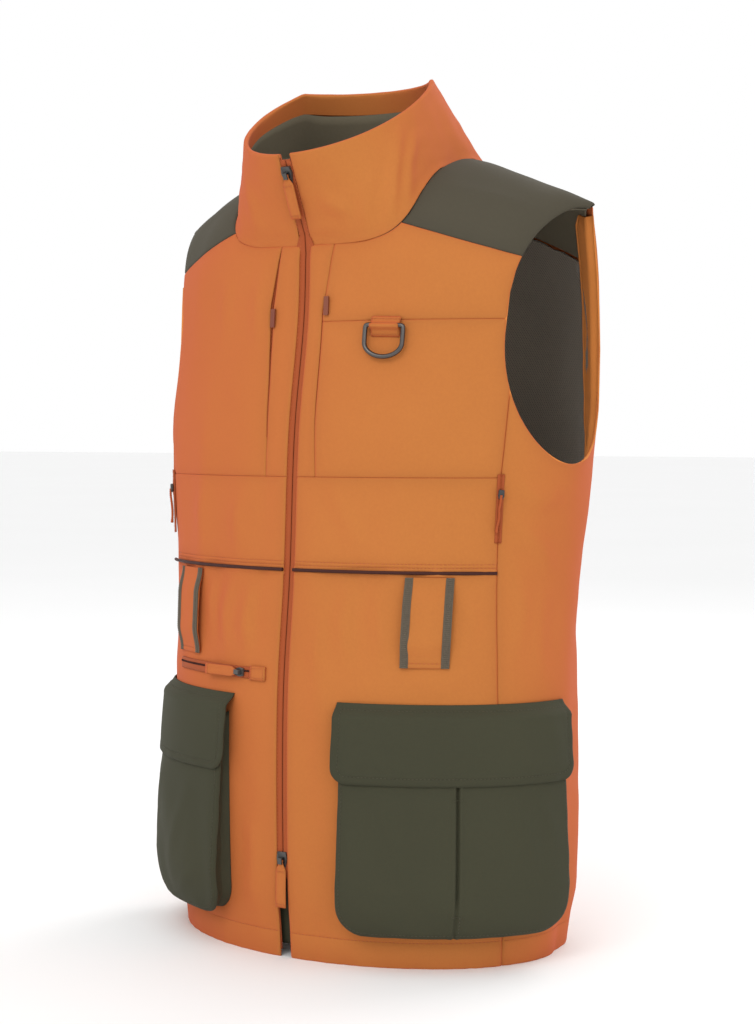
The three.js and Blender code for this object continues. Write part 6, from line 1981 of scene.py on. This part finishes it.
def make_flap(side):
    sign = SIDES[side]
    wide = POCKET_WIDE + 2 * FLAP_OVER
    zs = rounded_rows(FLAP_LOW, FLAP_HIGH, FLAP_CORNER, 2.6, (0.5, 5.5, 6.5, 7.5), (*EDGE, 4.0))
    us = shares(wide, 3.0, (*EDGE, 5.2, 6.5, 7.8), (*EDGE, 5.2, 6.5, 7.8))
    inset = rounded_inset(zs, FLAP_LOW, FLAP_CORNER)[:, None]
    arcs = -FLAP_OVER + inset + us[None, :] * (wide - 2 * inset)
    stand = mix(pocket_depth(np.minimum(zs, 208.0)) + 3.1, 1.0, smooth(zs, 211, 223)) + CLOTH
    sheet = over_wall(arcs, zs, stand, (0, 400))
    mirrored = sheet.p * np.array([sign, 1, 1])
    rim = rounded_rim(arcs, zs, -FLAP_OVER, POCKET_WIDE + FLAP_OVER, FLAP_LOW, FLAP_CORNER)
    relief = edge_relief(rim, (6.5,), 0.9) + 0.55 * swell(mirrored, 91, 70, (1, 1, 0.6)) * smooth(rim, 0, 20)
    relief += 0.3 * swell(mirrored, 92, 16) * np.exp(-((rim / 12) ** 2)) + edge_relief(sheet.high, (), 0.6)
    if side == "left":
        for a0, z0, a1, z1, h in (
            (30, 214, 66, 180, 0.8), (120, 216, 150, 186, 0.9), (170, 214, 184, 176, 1.0)
        ):
            line = [pocket_point(a0, z0, 3), pocket_point(a1, z1, 3)]
            relief += ridge(sheet.p, line, 8, h)
    flap = f"pocket_flap_{side}"
    cloth_piece(
        f"pocket_flap_cloth_{side}", sheet, relief, olive(), CLOTH, sign, np.maximum(rim, 0),
        held="hung", rests_on=[f"front_lower_{side}"], stands_for=flap, body=flap,
    )
    path = sewn_path(-FLAP_OVER, POCKET_WIDE + FLAP_OVER, FLAP_LOW, FLAP_HIGH - 5, FLAP_CORNER, 6.5)
    top = [(a, FLAP_HIGH - 5.0) for a in np.linspace(0, POCKET_WIDE, 50)]
    lines = [on_grid(arcs, zs, sheet.at(relief + 0.12), line) for line in (path, top)]
    sew(f"flap_stitches_{side}", lines, olive_thread(), sign, body=flap)


# ---- Sizes and colours that a person can change -----------------------------------------------


def colour_setting(name, description, value):
    return bpy.props.FloatVectorProperty(
        name=name, description=description, default=value, size=3, min=0, max=1, subtype="COLOR"
    )


class VestCloth(bpy.types.PropertyGroup):
    orange: colour_setting("Orange", "The shell cloth where it catches the light", (0.49, 0.17, 0.038))
    orange_dark: colour_setting(
        "Orange shade", "The shell cloth between its raised threads", (0.40, 0.128, 0.026)
    )
    # Painted shade: the darker red that the shell cloth takes where it turns away from the camera.
    orange_turned_shade: colour_setting(
        "Orange painted shade on the turn", "The shell cloth seen along its surface", (0.50, 0.085, 0.026)
    )
    olive: colour_setting("Olive", "The yoke and pocket cloth", (0.050, 0.049, 0.027))
    olive_dark: colour_setting(
        "Olive shade", "The yoke and pocket cloth in its hollows", (0.033, 0.033, 0.018)
    )
    # Partly painted light: the yoke's browner green, set lighter than the olive for the light that the
    # shoulders catch; the linings take brighter copies of it.
    yoke: colour_setting("Yoke", "The brown-green yoke and linings", (0.072, 0.062, 0.041))
    lining: colour_setting("Lining yarn", "The open lining's yarn", (0.20, 0.165, 0.12))
    # Painted shade: the colour of the knit's holes, for the shade behind the lining.
    lining_dark: colour_setting("Lining holes", "What shows through the lining", (0.05, 0.042, 0.032))
    zip: colour_setting("Zip tape", "Woven tape of the zips", (0.40, 0.08, 0.018))
    piping: colour_setting("Piping", "The dark cord over the pockets", (0.055, 0.011, 0.007))
    ribbed: colour_setting("Ribbed tape", "The stiff tapes beside the gear loops", (0.15, 0.12, 0.085))
    thread: colour_setting("Thread", "Sewing thread of the shell", (0.48, 0.12, 0.04))
    olive_thread: colour_setting("Olive thread", "Sewing thread of the pockets", (0.075, 0.066, 0.042))
    fold_depth: bpy.props.FloatProperty(
        name="Fold depth", description="How far the hanging cloth swells and dips",
        default=0.0016, min=0, max=0.004, unit="LENGTH", precision=4,
    )


class VestStitches(bpy.types.PropertyGroup):
    pitch: bpy.props.FloatProperty(
        name="Pitch", description="From one stitch to the next", default=0.0033, min=0.001, unit="LENGTH"
    )
    length: bpy.props.FloatProperty(
        name="Length", description="How much of the pitch a stitch shows", default=0.0024, min=0.0005,
        unit="LENGTH"
    )
    thickness: bpy.props.FloatProperty(
        name="Thickness", description="The thread's own thickness", default=0.0006, min=0.0001, unit="LENGTH"
    )


# ---- One operator for each group of pieces ----------------------------------------------------


class BuildShell(bpy.types.Operator):
    """Builds the orange panels round the body, with their seams and stitching"""

    bl_idname = "vest.build_shell"
    bl_label = "Build the shell"

    def execute(self, context):
        for side in SIDES:
            make_front(side)
            make_side(side)
            make_yoke(side)
        make_back()
        return {"FINISHED"}


class BuildCollar(bpy.types.Operator):
    """Builds the stand collar and its lining"""

    bl_idname = "vest.build_collar"
    bl_label = "Build the collar"

    def execute(self, context):
        make_collar()
        return {"FINISHED"}


class BuildLinings(bpy.types.Operator):
    """Builds the mesh linings, the yoke linings and the hem and armhole facings"""

    bl_idname = "vest.build_linings"
    bl_label = "Build the linings"

    def execute(self, context):
        make_linings()
        make_hem_facing()
        for side in SIDES:
            make_yoke_lining(side)
            make_armhole_facing(side)
        return {"FINISHED"}


class BuildZips(bpy.types.Operator):
    """Builds the front, chest, side and map zips with their sliders and webbing pulls"""

    bl_idname = "vest.build_zips"
    bl_label = "Build the zips"

    def execute(self, context):
        make_front_zip()
        for side in SIDES:
            make_chest_zip(side)
            make_side_zip(side)
            make_side_pull(side)
        make_map_zip()
        make_hardware()
        make_pulls()
        return {"FINISHED"}


class BuildTrim(bpy.types.Operator):
    """Builds the piping, the gear loops, the chest tab and its D-ring"""

    bl_idname = "vest.build_trim"
    bl_label = "Build the trim"

    def execute(self, context):
        for side in SIDES:
            make_piping(side)
            make_gear_loop(side)
        make_ring()
        return {"FINISHED"}


class BuildPockets(bpy.types.Operator):
    """Builds the bellows pockets and their flaps"""

    bl_idname = "vest.build_pockets"
    bl_label = "Build the pockets"

    def execute(self, context):
        for side in SIDES:
            make_pocket(side)
            make_flap(side)
        return {"FINISHED"}


def area_light(name, place, target, size, power, colour=(1, 1, 1)):
    data = bpy.data.lights.new(name, "AREA")
    data.shape = "RECTANGLE"
    data.size, data.size_y = size
    data.energy = power
    data.color = colour
    lamp = bpy.data.objects.new(name, data)
    lamp.location = place
    direction = np.asarray(target, float) - np.asarray(place, float)
    yaw = math.atan2(direction[0], -direction[1])
    tilt = math.atan2(math.hypot(direction[0], direction[1]), -direction[2])
    lamp.rotation_euler = (tilt, 0.0, yaw + math.pi)
    bpy.context.scene.collection.objects.link(lamp)
    return lamp


# Where the camera stands, in degrees and metres, with its lens in millimetres.
CAMERA_TURN = 34.14
CAMERA_TILT = 2.248
CAMERA_LENS = 73.66
CAMERA_DISTANCE = 1.8856
CAMERA_ASIDE = 0.0052
CAMERA_HEIGHT = 0.4509


class BuildStage(bpy.types.Operator):
    """Sets up the floor, the soft lights, the camera and the plain backdrop"""

    bl_idname = "vest.build_stage"
    bl_label = "Build the stage"

    def execute(self, context):
        floor_mesh = bpy.data.meshes.new("floor")
        reach = 30.0
        floor_mesh.from_pydata(
            [(-reach, -reach, 0), (reach, -reach, 0), (reach, reach, 0), (-reach, reach, 0)], [],
            [(0, 1, 2, 3)]
        )
        floor_piece = bpy.data.objects.new("floor", floor_mesh)
        material, tree, shader = new_material("Pale floor")
        speckle = node(tree, "ShaderNodeTexNoise", {"Scale": 60.0, "Detail": 4.0})
        tint = node(
            tree, "ShaderNodeMix",
            {0: speckle.outputs[0], 6: (0.90, 0.90, 0.90, 1), 7: (0.93, 0.93, 0.93, 1)}, data_type="RGBA"
        )
        tree.links.new(tint.outputs[2], shader.inputs["Base Color"])
        shader.inputs["Roughness"].default_value = 0.7
        floor_mesh.materials.append(material)
        context.scene.collection.objects.link(floor_piece)

        world = bpy.data.worlds.new("Studio")
        world.use_nodes = True
        world.node_tree.nodes["Background"].inputs["Color"].default_value = (1, 1, 1, 1)
        world.node_tree.nodes["Background"].inputs["Strength"].default_value = 1.0
        context.scene.world = world
        area_light("key", (0.5, -2.8, 2.4), (0, 0, 0.4), (1.8, 1.4), 34, (1, 0.99, 0.97))
        area_light("fill", (2.6, -1.6, 1.2), (0, 0, 0.4), (1.8, 1.8), 10)
        area_light("rim", (0.4, 2.2, 2.2), (0, 0, 0.5), (1.6, 1.2), 22)
        camera_data = bpy.data.cameras.new("camera")
        camera_data.lens = CAMERA_LENS
        camera_data.sensor_width = 36.0
        camera = bpy.data.objects.new("camera", camera_data)
        away = np.array([sin_deg(CAMERA_TURN), -cos_deg(CAMERA_TURN)]) * CAMERA_DISTANCE
        aside = np.array([cos_deg(CAMERA_TURN), sin_deg(CAMERA_TURN)]) * CAMERA_ASIDE
        camera.location = (away[0] + aside[0], away[1] + aside[1] + SHIFT_Y / 1000, CAMERA_HEIGHT)
        camera.rotation_euler = (math.radians(90 - CAMERA_TILT), 0.0, math.radians(CAMERA_TURN))
        context.scene.collection.objects.link(camera)
        context.scene.camera = camera
        context.scene.view_settings.view_transform = "Standard"
        context.scene.view_settings.look = "None"
        return {"FINISHED"}


class VestPanel(bpy.types.Panel):
    bl_idname = "VEST_PT_build"
    bl_label = "Vest"
    bl_space_type = "VIEW_3D"
    bl_region_type = "UI"
    bl_category = "Vest"

    def draw(self, context):
        for settings in (context.scene.vest_cloth, context.scene.vest_stitches):
            for name in type(settings).__annotations__:
                self.layout.prop(settings, name)
        for operator in OPERATORS:
            self.layout.operator(operator.bl_idname)


OPERATORS = (BuildShell, BuildCollar, BuildLinings, BuildZips, BuildTrim, BuildPockets, BuildStage)
CLASSES = (VestCloth, VestStitches, *OPERATORS, VestPanel)


def register():
    for made in CLASSES:
        bpy.utils.register_class(made)
    bpy.types.Scene.vest_cloth = bpy.props.PointerProperty(type=VestCloth)
    bpy.types.Scene.vest_stitches = bpy.props.PointerProperty(type=VestStitches)


def unregister():
    del bpy.types.Scene.vest_stitches
    del bpy.types.Scene.vest_cloth
    for made in reversed(CLASSES):
        bpy.utils.unregister_class(made)


def main():
    register()
    bpy.ops.vest.build_shell()
    bpy.ops.vest.build_collar()
    bpy.ops.vest.build_linings()
    bpy.ops.vest.build_zips()
    bpy.ops.vest.build_trim()
    bpy.ops.vest.build_pockets()
    bpy.ops.vest.build_stage()


if __name__ == "__main__":
    main()
